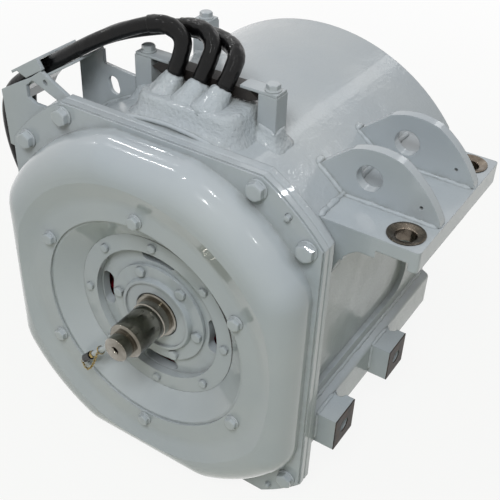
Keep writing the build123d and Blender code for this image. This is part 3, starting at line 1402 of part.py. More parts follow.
def cable_lug(route):
    """Crimped lug on the end of a cable, with a flat palm and its hole."""
    end = Vector(*route[-1])
    ahead = (end - Vector(*route[-2])).normalized()
    mouth = Plane(origin=end, x_dir=(0, 1, 0), z_dir=ahead)
    barrel = extrude(mouth * Circle(LUG_BARREL_R), LUG_BARREL_LENGTH)
    palm_start = mouth.offset(LUG_BARREL_LENGTH - LUG_PALM_SINK)
    palm = extrude(palm_start * Rectangle(LUG_PALM_W, LUG_PALM_T), LUG_PALM_LENGTH)
    eye_middle = end + ahead * (LUG_BARREL_LENGTH + LUG_PALM_LENGTH / 2)
    eye = Plane(origin=eye_middle, x_dir=(0, 1, 0), z_dir=mouth.y_dir)
    return barrel + palm - extrude(eye * Circle(LUG_EYE_R), LUG_PALM_T, both=True)


# Grease fitting

def grease_point(radius, y):
    x, z = polar(radius, GREASE_ANGLE)
    return Vector(x, y, z)


def grease_direction():
    return grease_point(1.0, 0.0)


def grease_pipe():
    """Pipe from the bearing cap forward and out towards the hood's mouth."""
    points = [
        grease_point(GREASE_START_R, CAP_RIM_Y + CAP_DISH),
        grease_point(GREASE_START_R, GREASE_Y),
        grease_point(GREASE_END_R, GREASE_Y),
    ]
    path = FilletPolyline(*points, radius=GREASE_BEND_R)
    start = Plane(origin=points[0], z_dir=(0, -1, 0))
    return sweep(start * Circle(GREASE_PIPE_R), path=path)


def grease_rod(radius, start, length):
    place = Plane(origin=grease_point(start, GREASE_Y), z_dir=grease_direction())
    return extrude(place * Circle(radius), length)


def grease_nipple():
    """Nipple screwed in the pipe's end, with its hexagon."""
    hexagon = Plane(origin=grease_point(GREASE_END_R, GREASE_Y), z_dir=grease_direction())
    body = extrude(hexagon * RegularPolygon(NIPPLE_HEX_R, 6), NIPPLE_HEX_LENGTH)
    return body + grease_rod(NIPPLE_R, GREASE_END_R, NIPPLE_LENGTH)


def nipple_cap():
    """Soft cap pushed over the nipple."""
    start = GREASE_END_R + NIPPLE_CAP_START
    end = start + NIPPLE_CAP_LENGTH
    body = grease_rod(NIPPLE_CAP_R, start, NIPPLE_CAP_LENGTH)
    body += grease_rod(NIPPLE_CAP_TIP_R, end, NIPPLE_CAP_TIP_LENGTH)
    room = NIPPLE_LENGTH - NIPPLE_CAP_START + NIPPLE_CAP_ROOM
    return body - grease_rod(NIPPLE_R + SEAT_GAP, start, room)


def cap_chain():
    """Fine loop from the cap to a ring that slides on the pipe."""
    side = Vector(0, -1, 0)
    fall = Vector(0, -CHAIN_FORWARD, -CHAIN_FALL)
    ring_r = GREASE_PIPE_R + CHAIN_R + SOFT_GAP
    ring_place = grease_point(GREASE_END_R - CHAIN_RING_PLACE, GREASE_Y)
    first = ring_place + side * ring_r
    end_place = grease_point(GREASE_END_R + CHAIN_END_PLACE, GREASE_Y)
    last = end_place + side * (NIPPLE_CAP_TIP_R + CHAIN_R - SEAT_GAP)
    path = FilletPolyline(first, first + fall, last + fall * CHAIN_LIFT, last, radius=CHAIN_BEND_R)
    start = Plane(origin=first, z_dir=fall.normalized())
    loop = sweep(start * Circle(CHAIN_R), path=path)
    around = Plane(origin=ring_place, z_dir=grease_direction())
    return loop + around * Torus(ring_r, CHAIN_R)


def bolt_group(places, seat_y, radius, flats, length, washer=0.0):
    return Compound(children=[hex_bolt(x, z, seat_y, radius, flats, length, washer) for x, z in places])


def rear_facing(shape, seat_y):
    """Turn a bolt group made for a front face so that its heads face the rear."""
    return Pos(0, 2 * seat_y, 0) * mirror(shape, about=Plane.XZ)


def build_all():
    os.makedirs("parts", exist_ok=True)
    shield_front = FRAME_FRONT_Y - SHIELD_FLANGE_T
    rear_face = FRAME_REAR_Y + REAR_SHIELD_T

    export(stator_frame(), "stator_frame")
    export(air_hood(), "air_hood")
    export(inlet_bowl(), "inlet_bowl")
    export(bowl_ring(), "bowl_ring")
    export(drive_end_shield(), "drive_end_shield")
    export(outer_bearing_cap(), "outer_bearing_cap")
    export(inner_bearing_cap(), "inner_bearing_cap")

    outer, inner, rollers, cage = drive_bearing()
    export(outer, "drive_bearing_outer_race")
    export(inner, "drive_bearing_inner_race")
    export(rollers, "drive_bearing_rollers")
    export(cage, "drive_bearing_cage")
    export(labyrinth_ring(), "labyrinth_ring")

    export(rear_end_shield(), "rear_end_shield")
    outer, inner, balls, cage = rear_bearing()
    export(outer, "rear_bearing_outer_race")
    export(inner, "rear_bearing_inner_race")
    export(balls, "rear_bearing_balls")
    export(cage, "rear_bearing_cage")
    export(rear_bearing_cap(), "rear_bearing_cap")
    export(tone_wheel(), "tone_wheel")
    export(speed_sensor(), "speed_sensor")

    export(shaft(), "shaft")
    export(rotor_core(), "rotor_core")
    export(rotor_cage(), "rotor_cage")
    export(stator_core(), "stator_core")
    export(stator_winding(), "stator_winding")
    export(fan(), "fan")

    export(suspension_plate(), "suspension_plate")
    front_rib, rear_rib = bracket_ribs()
    export(front_rib, "bracket_rib_front")
    export(rear_rib, "bracket_rib_rear")
    export(bracket_bushes(), "bracket_bushes")
    export(side_rail(), "side_rail")
    export(mounting_lugs(), "mounting_lugs")

    export(outlet_boss(), "outlet_boss")
    export(Compound(children=[gland(route) for route in CABLE_ROUTES]), "cable_glands")
    export(cleat_posts(), "cleat_posts")
    export(clamp_plates(), "clamp_plates")
    export(clamp_bolts(), "clamp_bolts")
    export(cable_cleat(), "cable_cleat")
    export(bracket_front_plate(), "shoulder_front_plate")
    export(bracket_rear_plate(), "shoulder_rear_plate")
    export(cable_tray(), "cable_tray")
    export(cable_strap(), "cable_strap")
    for letter, route in zip("uvw", CABLE_ROUTES):
        export(cable_tube(route), "phase_cable_" + letter)
        export(cable_lug(route), "cable_lug_" + letter)

    export(grease_pipe(), "grease_pipe")
    export(grease_nipple(), "grease_nipple")
    export(nipple_cap(), "nipple_cap")
    export(cap_chain(), "cap_chain")

    export_bolts(shield_front - HOOD_FOOT_T, rear_face)


def export_bolts(flange_seat, rear_face):
    """All bolts whose heads face along the shaft."""
    places = [polar(FLANGE_BOLT_PCR, a) for a in FLANGE_BOLT_ANGLES]
    length = FRAME_FRONT_Y + FRAME_FLANGE_T - flange_seat
    bolts = bolt_group(places, flange_seat, FLANGE_BOLT_R, FLANGE_BOLT_AF, length, FLANGE_WASHER_T)
    export(bolts, "flange_bolts")
    places = [polar(LIP_BOLT_PCR, a) for a in LIP_BOLT_ANGLES]
    bolts = bolt_group(places, HOOD_LIP_Y, LIP_BOLT_R, LIP_BOLT_AF, LIP_BOLT_LENGTH, LIP_WASHER_T)
    export(bolts, "hood_bolts")
    places = circle_places(RING_BOLT_PCR, RING_BOLT_COUNT)
    bolts = bolt_group(places, BOWL_PLATE_Y, RING_BOLT_R, RING_BOLT_AF, RING_BOLT_LENGTH)
    export(bolts, "bowl_bolts")
    places = circle_places(CAP_BOLT_PCR, CAP_BOLT_COUNT, CAP_BOLT_TURN)
    length = DRIVE_BEARING_Y + DRIVE_WIDTH + INNER_CAP_T - WEB_FRONT_Y + CAP_T
    export(bolt_group(places, WEB_FRONT_Y - CAP_T, CAP_BOLT_R, CAP_BOLT_AF, length), "cap_bolts")
    places = [polar(JACK_SCREW_PCR, a) for a in JACK_SCREW_ANGLES]
    screws = bolt_group(places, flange_seat, JACK_SCREW_R, JACK_SCREW_AF, JACK_SCREW_LENGTH)
    export(screws, "jack_screws")
    places = circle_places(REAR_BOLT_PCR, REAR_BOLT_COUNT, REAR_BOLT_TURN)
    length = REAR_SHIELD_T + REAR_BOLT_GRIP
    bolts = bolt_group(places, rear_face, REAR_BOLT_R, REAR_BOLT_AF, length)
    export(rear_facing(bolts, rear_face), "rear_shield_bolts")
    places = circle_places(REAR_CAP_BOLT_PCR, CAP_BOLT_COUNT)
    cap_face = rear_face + REAR_CAP_T
    bolts = bolt_group(places, cap_face, CAP_BOLT_R, CAP_BOLT_AF, REAR_CAP_T + REAR_CAP_BOLT_GRIP)
    export(rear_facing(bolts, cap_face), "rear_cap_bolts")


build_all()
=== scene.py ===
from collections import namedtuple
import json
import math

import bpy
from mathutils import Matrix, Vector, noise


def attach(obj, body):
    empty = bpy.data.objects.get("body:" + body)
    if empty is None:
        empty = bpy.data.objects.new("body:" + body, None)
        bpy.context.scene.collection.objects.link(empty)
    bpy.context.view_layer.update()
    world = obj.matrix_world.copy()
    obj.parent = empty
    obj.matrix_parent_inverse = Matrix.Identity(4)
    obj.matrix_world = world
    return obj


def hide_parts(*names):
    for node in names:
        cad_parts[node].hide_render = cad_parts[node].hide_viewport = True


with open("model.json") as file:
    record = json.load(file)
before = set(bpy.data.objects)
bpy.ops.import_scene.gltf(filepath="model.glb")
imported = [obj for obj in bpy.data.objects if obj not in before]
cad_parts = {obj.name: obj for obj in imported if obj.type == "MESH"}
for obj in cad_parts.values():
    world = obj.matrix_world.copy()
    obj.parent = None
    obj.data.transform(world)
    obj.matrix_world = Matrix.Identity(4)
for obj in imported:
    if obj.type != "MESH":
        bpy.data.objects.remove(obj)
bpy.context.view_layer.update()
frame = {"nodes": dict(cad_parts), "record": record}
NODES = frame["nodes"]

# Camera, solved from the photograph
CAMERA_PLACE = (0.6607, -0.7649, 0.9032)
CAMERA_RIGHT = (0.83047, 0.55653, 0.02449)
CAMERA_DOWN = (0.35182, -0.48989, -0.79764)
CAMERA_FORWARD = (-0.43191, 0.67103, -0.60263)
CAMERA_SENSOR = 36.0
CAMERA_LENS = 62.958
CAMERA_SHIFT = (0.0336, 0.0124)

# Places and sizes of the solids that pieces here are fitted to, in metres
FLOOR_Z = -0.294
FRAME_R = 0.318
FRAME_RIGHT_X = 0.250
FRAME_LEFT_X = -0.272
FLANGE_REAR_Y = 0.083
PLATE_TOP_Z = 0.228
PLATE_FRONT_Y = 0.131
PLATE_REAR_Y = 0.419
RIB_T = 0.016
RIB_FRONT_YS = (0.200, 0.322)
POSTS = ((-0.102, 0.174, 0.364), (0.113, 0.174, 0.364), (-0.102, 0.320, 0.368))

# Routes, radius and lengths of the phase cables, in metres
CABLE_R = 0.011
CABLE_ROUTES = {
    "u": (
        (-0.038, 0.146, 0.350), (-0.031, 0.158, 0.382), (-0.030, 0.166, 0.411), (-0.060, 0.157, 0.429),
        (-0.104, 0.138, 0.415), (-0.156, 0.121, 0.389), (-0.215, 0.110, 0.350), (-0.290, 0.110, 0.303),
        (-0.345, 0.108, 0.255), (-0.350, 0.110, 0.165), (-0.318, 0.116, 0.070), (-0.292, 0.122, -0.030),
        (-0.290, 0.126, -0.130), (-0.289, 0.126, -0.212),
    ),
    "v": (
        (0.005, 0.146, 0.350), (0.011, 0.162, 0.379), (0.012, 0.179, 0.406), (-0.016, 0.192, 0.419),
        (-0.062, 0.187, 0.412), (-0.116, 0.164, 0.401), (-0.165, 0.147, 0.382), (-0.215, 0.134, 0.350),
        (-0.290, 0.134, 0.303), (-0.345, 0.132, 0.255), (-0.350, 0.135, 0.168), (-0.319, 0.142, 0.074),
        (-0.293, 0.150, -0.024), (-0.290, 0.153, -0.124), (-0.289, 0.153, -0.206),
    ),
    "w": (
        (0.043, 0.146, 0.350), (0.050, 0.163, 0.376), (0.049, 0.183, 0.399), (0.018, 0.205, 0.402),
        (-0.034, 0.214, 0.402), (-0.092, 0.205, 0.398), (-0.152, 0.184, 0.390), (-0.215, 0.160, 0.350),
        (-0.290, 0.158, 0.303), (-0.345, 0.156, 0.255), (-0.350, 0.160, 0.171), (-0.320, 0.168, 0.078),
        (-0.294, 0.177, -0.018), (-0.290, 0.180, -0.118), (-0.289, 0.180, -0.202),
    ),
}


# Camera

def make_camera():
    data = bpy.data.cameras.new("camera")
    data.sensor_width = CAMERA_SENSOR
    data.lens = CAMERA_LENS
    data.shift_x, data.shift_y = CAMERA_SHIFT
    camera = bpy.data.objects.new("camera", data)
    bpy.context.scene.collection.objects.link(camera)
    axes = (Vector(CAMERA_RIGHT), -Vector(CAMERA_DOWN), -Vector(CAMERA_FORWARD))
    turn = Matrix([[axis[row] for axis in axes] for row in range(3)]).to_4x4()
    camera.matrix_world = Matrix.Translation(CAMERA_PLACE) @ turn
    bpy.context.scene.camera = camera


make_camera()


# Shader helpers

class Shader:
    """One procedural material, built up node by node."""

    def __init__(self, name):
        self.material = bpy.data.materials.new(name)
        self.material.use_nodes = True
        self.tree = self.material.node_tree
        self.surface = self.tree.nodes["Principled BSDF"]
        self.coords = self.tree.nodes.new("ShaderNodeTexCoord").outputs["Object"]

    def set(self, **values):
        for socket, value in values.items():
            self.surface.inputs[socket.replace("_", " ")].default_value = value

    def link(self, source, socket):
        self.tree.links.new(source, self.surface.inputs[socket])

    def node(self, kind, inputs=(), **settings):
        """A new node. Each input is another node's output to link, or a plain value."""
        made = self.tree.nodes.new(kind)
        for name, value in settings.items():
            setattr(made, name, value)
        for socket, source in dict(inputs).items():
            if hasattr(source, "is_output"):
                self.tree.links.new(source, made.inputs[socket])
            else:
                made.inputs[socket].default_value = source
        return made

    def noise(self, scale, detail=2.0, roughness=0.5, coords=None):
        return self.node(
            "ShaderNodeTexNoise",
            {"Vector": coords or self.coords, "Scale": scale, "Detail": detail, "Roughness": roughness},
        ).outputs["Fac"]

    def stretched(self, scale):
        return self.node("ShaderNodeMapping", {"Vector": self.coords, "Scale": scale}).outputs["Vector"]

    def range(self, value, low, high, to_low=0.0, to_high=1.0):
        return self.node(
            "ShaderNodeMapRange",
            {"Value": value, "From Min": low, "From Max": high, "To Min": to_low, "To Max": to_high},
        ).outputs["Result"]

    def math(self, operation, first, second=0.0):
        return self.node("ShaderNodeMath", {0: first, 1: second}, operation=operation).outputs[0]

    def mix(self, factor, first, second):
        """A blend of two colours. The colour type's factor and colours are inputs 0, 6 and 7."""
        return self.node("ShaderNodeMix", {0: factor, 6: first, 7: second}, data_type="RGBA").outputs[2]

    def bump(self, height, distance, normal=None):
        inputs = {"Height": height, "Distance": distance, "Strength": 1.0}
        if normal is not None:
            inputs["Normal"] = normal
        return self.node("ShaderNodeBump", inputs).outputs["Normal"]

    def edge_normal(self, radius):
        return self.node("ShaderNodeBevel", {"Radius": radius}, samples=4).outputs["Normal"]

    def corners(self, distance):
        """How open each place is: 1 in the open, towards 0 in a corner."""
        return self.node("ShaderNodeAmbientOcclusion", {"Distance": distance}, samples=4).outputs["AO"]


def colour(red, green, blue):
    """A colour given as it looks on screen, 0 to 255, as shader values."""
    def linear(value):
        value /= 255.0
        return value / 12.92 if value <= 0.04045 else ((value + 0.055) / 1.055) ** 2.4
    return (linear(red), linear(green), linear(blue), 1.0)


# Materials

WHITE = (1.0, 1.0, 1.0, 1.0)
PAINT = colour(176, 182, 186)
PAINT_FADED = colour(186, 190, 191)
# Colour of the painted shade in the enamel's corners
PAINT_SHADE_TONE = colour(118, 118, 108)
OILY_STEEL = colour(24, 20, 18)
RUSTY_STEEL = colour(62, 44, 30)
# Colour of the painted shade in metal corners and hollows
METAL_SHADE_TONE = colour(14, 12, 10)
DUST = colour(74, 66, 58)

ENAMEL_EDGE_R = 0.0024
ENAMEL_SHADE_REACH = 0.02
METAL_SHADE_REACH = 0.03
METAL_EDGE_R = 0.0005
GROOVE_DEPTH = 0.000004
LUG_FACE_X = 0.2985


def enamel_material(name, bump_scale, bump_depth, wave_depth, roughness, gloss, bare_x=None):
    """Thick gloss enamel: slight tone drift, orange peel, soft edges and painted shade darkening its
    corners, broken up by noise.

    Beyond bare_x, where one is given, the surface is machined, dark and oily.
    """
    s = Shader(name)
    drift = s.range(s.noise(5.0, 3.0), 0.3, 0.7)
    tone = s.mix(drift, PAINT, PAINT_FADED)
    blotches = s.range(s.noise(60.0, 4.0), 0.2, 0.8, -0.16, 0.16)
    # Painted shade: the enamel darkens where an occlusion test finds a corner, with noise to break it up
    corner_shade = s.range(s.math("ADD", s.corners(ENAMEL_SHADE_REACH), blotches), 0.15, 0.8, 0.6, 0.0)
    painted = s.mix(corner_shade, tone, PAINT_SHADE_TONE)
    shine = s.range(s.noise(30.0, 3.0), 0.3, 0.7, roughness, roughness + 0.1)
    if bare_x is not None:
        place = s.node("ShaderNodeSeparateXYZ", {"Vector": s.coords}).outputs["X"]
        bare = s.math("GREATER_THAN", place, bare_x)
        rust = s.mix(s.range(s.noise(90.0, 4.0), 0.35, 0.7), OILY_STEEL, RUSTY_STEEL)
        painted = s.mix(bare, painted, rust)
        shine = s.math("ADD", shine, s.math("MULTIPLY", bare, 0.35))
    s.link(painted, "Base Color")
    s.link(shine, "Roughness")
    s.set(Specular_IOR_Level=0.26, Coat_Weight=gloss, Coat_Roughness=0.03)
    waves = s.bump(s.noise(14.0, 2.0), wave_depth, normal=s.edge_normal(ENAMEL_EDGE_R))
    s.link(s.bump(s.noise(bump_scale, 2.0), bump_depth, normal=waves), "Normal")
    return s.material


def cable_material():
    s = Shader("sheath")
    dust = s.range(s.noise(24.0, 5.0, 0.7), 0.5, 0.8, 0.0, 0.4)
    s.link(s.mix(dust, colour(6, 6, 7), colour(34, 29, 24)), "Base Color")
    s.link(s.range(s.noise(70.0, 3.0), 0.3, 0.7, 0.24, 0.42), "Roughness")
    s.set(Specular_IOR_Level=0.14, Coat_Weight=0.26, Coat_Roughness=0.06)
    ripple = s.bump(s.noise(75.0, 3.0), 0.0018)
    s.link(s.bump(s.noise(900.0, 2.0), 0.0001, normal=ripple), "Normal")
    return s.material


def steel_material(name, bright, stain, groove_scale, roughness):
    """Turned steel with fine grooves round the shaft axis and an oily brown film."""
    s = Shader(name)
    film = s.range(s.noise(16.0, 4.0, 0.6), 0.4, 0.75)
    s.link(s.mix(film, bright, stain), "Base Color")
    s.link(s.range(s.noise(45.0, 4.0), 0.3, 0.7, roughness, roughness + 0.16), "Roughness")
    s.set(Metallic=1.0)
    grooves = s.noise(groove_scale, 2.0, 0.5, s.stretched((0.02, 1.0, 0.02)))
    s.link(s.bump(grooves, GROOVE_DEPTH, normal=s.edge_normal(0.0006)), "Normal")
    return s.material


def plain_metal_material(name, bright, dark, roughness, edge_radius=METAL_EDGE_R):
    s = Shader(name)
    spots = s.range(s.noise(55.0, 5.0, 0.65), 0.35, 0.7)
    # Painted shade: the metal darkens to near black where an occlusion test finds a corner or hollow
    deep = s.range(s.corners(METAL_SHADE_REACH), 0.25, 0.9, 0.95, 0.0)
    s.link(s.mix(deep, s.mix(spots, bright, dark), METAL_SHADE_TONE), "Base Color")
    s.link(s.range(s.noise(120.0, 3.0), 0.3, 0.7, roughness, roughness + 0.15), "Roughness")
    s.set(Metallic=1.0)
    s.link(s.bump(s.noise(700.0, 3.0), 0.00008, normal=s.edge_normal(edge_radius)), "Normal")
    return s.material


def rubber_material(name, tone, roughness):
    s = Shader(name)
    dust = s.range(s.noise(40.0, 5.0, 0.7), 0.5, 0.8, 0.0, 0.4)
    s.link(s.mix(dust, tone, DUST), "Base Color")
    s.set(Roughness=roughness)
    s.link(s.bump(s.noise(500.0, 3.0), 0.0002, normal=s.edge_normal(0.0008)), "Normal")
    return s.material


def varnish_material(name, tone, deep):
    s = Shader(name)
    s.link(s.mix(s.range(s.noise(30.0, 4.0), 0.35, 0.7), tone, deep), "Base Color")
    s.set(Roughness=0.4, Specular_IOR_Level=0.25)
    s.link(s.bump(s.noise(160.0, 3.0), 0.0005, normal=s.edge_normal(0.001)), "Normal")
    return s.material


def lamination_material():
    """Stacked sheets: thin lines across the shaft direction."""
    s = Shader("laminations")
    sheets = s.noise(1800.0, 1.0, 0.5, s.stretched((0.01, 1.0, 0.01)))
    s.link(s.mix(sheets, colour(70, 70, 74), colour(118, 116, 114)), "Base Color")
    s.set(Metallic=0.7, Roughness=0.5)
    s.link(s.bump(sheets, 0.0003), "Normal")
    return s.material


# One material for each slot of the record, and finer finishes of the enamel for some nodes.
# An enamel's numbers are its bumps' scale and depth, its waves' depth, roughness and gloss.
MATERIALS = {
    "grey_enamel": enamel_material("enamel", 260.0, 0.00030, 0.0012, 0.14, 0.35),
    "frame_enamel": enamel_material("frame_enamel", 190.0, 0.00065, 0.0030, 0.12, 0.24),
    "smooth_enamel": enamel_material("smooth_enamel", 420.0, 0.00006, 0.0009, 0.12, 0.5),
    "cast_enamel": enamel_material("cast_enamel", 200.0, 0.0022, 0.0030, 0.08, 0.5),
    "lug_enamel": enamel_material("lug_enamel", 260.0, 0.00026, 0.0010, 0.16, 0.06, LUG_FACE_X),
    "cable_sheath": cable_material(),
    "ground_steel": steel_material(
        "shaft_steel", colour(154, 150, 142), colour(84, 79, 66), groove_scale=2600.0, roughness=0.06
    ),
    "bearing_steel": steel_material(
        "race_steel", colour(176, 176, 174), colour(140, 138, 132), groove_scale=3000.0, roughness=0.14
    ),
    "bush_steel": plain_metal_material("bush", colour(140, 130, 118), colour(86, 76, 66), 0.18, 0.0008),
    "core_laminations": lamination_material(),
    "red_varnish": varnish_material("fan_paint", colour(196, 8, 44), colour(150, 6, 32)),
    "winding_varnish": varnish_material("winding", colour(120, 46, 30), colour(70, 26, 20)),
    "cage_copper": plain_metal_material("copper", colour(196, 128, 96), colour(148, 86, 62), 0.3),
    "cage_brass": plain_metal_material("cage_brass", colour(196, 168, 104), colour(160, 130, 78), 0.28),
    "cleat_rubber": rubber_material("cleat", colour(34, 30, 28), 0.5),
    "tinned_copper": plain_metal_material("tin", colour(190, 188, 182), colour(150, 146, 138), 0.24),
    "nipple_brass": plain_metal_material("brass", colour(186, 164, 104), colour(140, 118, 70), 0.25),
    "cap_plastic": rubber_material("cap_plastic", colour(16, 16, 18), 0.32),
    "sensor_aluminium": plain_metal_material(
        "aluminium", colour(190, 192, 194), colour(160, 162, 164), 0.3
    ),
}
FINISHES = {
    "smooth_enamel": (
        "air_hood", "inlet_bowl", "bowl_ring", "outer_bearing_cap", "drive_end_shield", "grease_pipe",
        "bracket_rib_front", "bracket_rib_rear",
    ),
    "lug_enamel": ("mounting_lugs",),
    "frame_enamel": ("stator_frame", "side_rail"),
}


def paint_nodes():
    slots = {part["node"]: part["material_slot"] for part in frame["record"]["subparts"]}
    for name, node in NODES.items():
        finish = next((key for key, names in FINISHES.items() if name in names), slots[name])
        for place in node.material_slots:
            place.material = MATERIALS[finish]


paint_nodes()


# Cables

CURVE_STEPS = 24
CURVE_ORDER = 3
BEVEL_STEPS = 8


def add_route(data, letter):
    """Lay one cable's route in a curve."""
    data.dimensions = "3D"
    data.resolution_u = CURVE_STEPS
    route = CABLE_ROUTES[letter]
    spline = data.splines.new("NURBS")
    spline.points.add(len(route) - 1)
    for point, place in zip(spline.points, route):
        point.co = (*place, 1.0)
    spline.order_u = CURVE_ORDER
    spline.use_endpoint_u = True


def make_cable(letter):
    data = bpy.data.curves.new("cable_" + letter, "CURVE")
    data.bevel_depth = CABLE_R
    data.bevel_resolution = BEVEL_STEPS
    data.use_fill_caps = True
    add_route(data, letter)
    cable = bpy.data.objects.new("cable_" + letter, data)
    bpy.context.scene.collection.objects.link(cable)
    data.materials.append(MATERIALS["cable_sheath"])
    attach(cable, "stator")
    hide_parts("phase_cable_" + letter)


for cable_letter in "uvw":
    make_cable(cable_letter)


# Meshes made from rings of points

def turns(count):
    """Angles at even steps, once round."""
    return [2 * math.pi * i / count for i in range(count)]


def shifted(seed):
    """A shift of the noise, so that no two pieces have the same lumps."""
    return Vector((seed, 0, 0))


def wire_ring(middle, first, second, radius, sides=8):
    """The section of a wire, in the plane of two directions."""
    return [middle + (first * math.cos(turn) + second * math.sin(turn)) * radius for turn in turns(sides)]


def rings_mesh(name, groups, sharp=None):
    """Closed skins, each made from rings of points that follow one another."""
    points, faces = [], []
    for rings in groups:
        base, count = len(points), len(rings[0])
        for ring in rings:
            points += [tuple(p) for p in ring]
        for i in range(len(rings) - 1):
            for j in range(count):
                k = (j + 1) % count
                a, b = base + i * count, base + (i + 1) * count
                faces.append((a + j, a + k, b + k, b + j))
        faces.append(tuple(base + j for j in reversed(range(count))))
        faces.append(tuple(base + (len(rings) - 1) * count + j for j in range(count)))
    mesh = bpy.data.meshes.new(name)
    mesh.from_pydata(points, [], faces)
    mesh.polygons.foreach_set("use_smooth", [True] * len(mesh.polygons))
    if sharp is not None:
        mesh.set_sharp_from_angle(angle=math.radians(sharp))
    mesh.update()
    return mesh


def add_piece(name, groups, slot, finish=None, body="stator", sharp=None):
    """Put a mesh of rings in the scene as a piece of the part."""
    mesh = rings_mesh(name, groups, sharp)
    mesh.materials.append(MATERIALS[finish or slot])
    piece = bpy.data.objects.new(name, mesh)
    bpy.context.scene.collection.objects.link(piece)
    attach(piece, body)
    return piece


# Sleeves shrunk over the cables

SLEEVE_R = 0.0126
SLEEVE_START = 0.012
SLEEVE_LENGTHS = {"u": 0.105, "v": 0.120, "w": 0.135}
SLEEVE_SIDES = 28
SLEEVE_WRINKLE = 0.0007
SLEEVE_WRINKLE_SCALE = 110.0
SLEEVE_SEED_STEP = 9.0


def cable_line(letter):
    """Points along a cable's middle, read from its own curve."""
    data = bpy.data.curves.new("line", "CURVE")
    add_route(data, letter)
    holder = bpy.data.objects.new("line", data)
    mesh = bpy.data.meshes.new_from_object(holder)
    points = [vertex.co.copy() for vertex in mesh.vertices]
    bpy.data.meshes.remove(mesh)
    bpy.data.objects.remove(holder)
    bpy.data.curves.remove(data)
    return points


def sleeve_rings(letter, seed):
    """Wrinkled sleeve over the first stretch of one cable."""
    points = cable_line(letter)
    run, rings = 0.0, []
    for before, place, after in zip(points, points[1:], points[2:]):
        run += (place - before).length
        if not SLEEVE_START <= run <= SLEEVE_START + SLEEVE_LENGTHS[letter]:
            continue
        ahead = (after - before).normalized()
        side = ahead.cross(Vector((0, 1, 0))).normalized()
        up = ahead.cross(side)
        ring = []
        for turn in turns(SLEEVE_SIDES):
            out = side * math.cos(turn) + up * math.sin(turn)
            wrinkle = noise.noise((place + out * SLEEVE_R + shifted(seed)) * SLEEVE_WRINKLE_SCALE)
            ring.append(place + out * (SLEEVE_R + SLEEVE_WRINKLE * wrinkle))
        rings.append(ring)
    return rings


for number, cable_letter in enumerate("uvw"):
    sleeve = sleeve_rings(cable_letter, SLEEVE_SEED_STEP * number)
    add_piece("cable_sleeve_" + cable_letter, [sleeve], "cable_sheath")


# Bolts with chamfered heads, washers and shanks

BOLT_SIDES = 48
BOLT_SHARP_ANGLE = 38
HEAD_HEIGHT_SHARE = 1.25
HEAD_TOP_SHARE = 0.95
HEAD_MIDDLE_SHARE = 0.8
HEAD_CROWN = 0.0001
CHAMFER_SLOPE = 0.6
SHANK_TIP_SHARE = 0.85
SHANK_TIP_CHAMFER = 0.15
WASHER_OVERHANG = 0.0015
PAINT_SKIRT = 0.0006


def bolt_rings(bolts, place):
    """One bolt, from its shank's end to the middle of its head."""
    right, up, out = bolts.axes
    shank_r, length, washer_t = bolts.shank_r, bolts.length, bolts.washer_t
    half = bolts.flats / 2
    head = shank_r * HEAD_HEIGHT_SHARE + washer_t
    top_r = half * HEAD_TOP_SHARE
    washer_r = bolts.flats / math.sqrt(3) + WASHER_OVERHANG

    def ring(radius_at, height):
        made = []
        for turn in turns(BOLT_SIDES):
            r, h = radius_at(turn), height(turn) if callable(height) else height
            made.append(place + right * (r * math.cos(turn)) + up * (r * math.sin(turn)) + out * h)
        return made

    def circle(radius, height):
        return ring(lambda turn: radius, height)

    def hexagon(turn):
        return half / math.cos((turn + math.pi / 6) % (math.pi / 3) - math.pi / 6)

    def shoulder(turn):
        return head - (hexagon(turn) - top_r) * CHAMFER_SLOPE

    rings = [
        circle(shank_r * SHANK_TIP_SHARE, -length),
        circle(shank_r, -length + shank_r * SHANK_TIP_CHAMFER),
        circle(shank_r, 0.0),
    ]
    if washer_t:
        rings += [
            circle(washer_r, 0.0),
            circle(washer_r, washer_t - PAINT_SKIRT),
            circle(washer_r - PAINT_SKIRT, washer_t),
        ]
    rings += [
        ring(lambda turn: hexagon(turn) + PAINT_SKIRT, washer_t),
        ring(hexagon, washer_t + PAINT_SKIRT),
        ring(hexagon, shoulder),
        circle(top_r, head),
        circle(top_r * HEAD_MIDDLE_SHARE, head + HEAD_CROWN),
    ]
    return rings


FORWARD = (Vector((1, 0, 0)), Vector((0, 0, 1)), Vector((0, -1, 0)))
REARWARD = (Vector((-1, 0, 0)), Vector((0, 0, 1)), Vector((0, 1, 0)))
UPWARD = (Vector((1, 0, 0)), Vector((0, 1, 0)), Vector((0, 0, 1)))


def on_circle(radius, angles, y):
    """Places round the shaft's axis."""
    return [
        Vector((radius * math.cos(math.radians(a)), y, radius * math.sin(math.radians(a)))) for a in angles
    ]


def spread(count, start=0.0):
    """Angles in degrees, at even steps from the first."""
    return [start + 360.0 * i / count for i in range(count)]


FLANGE_FACE_Y = 0.054
FLANGE_BOLT_ANGLES = (42.5, 60, 120, 137.5, -42.5, -137.5)
JACK_SCREW_ANGLES = (51, -51)
CLAMP_PLATE_T = 0.004

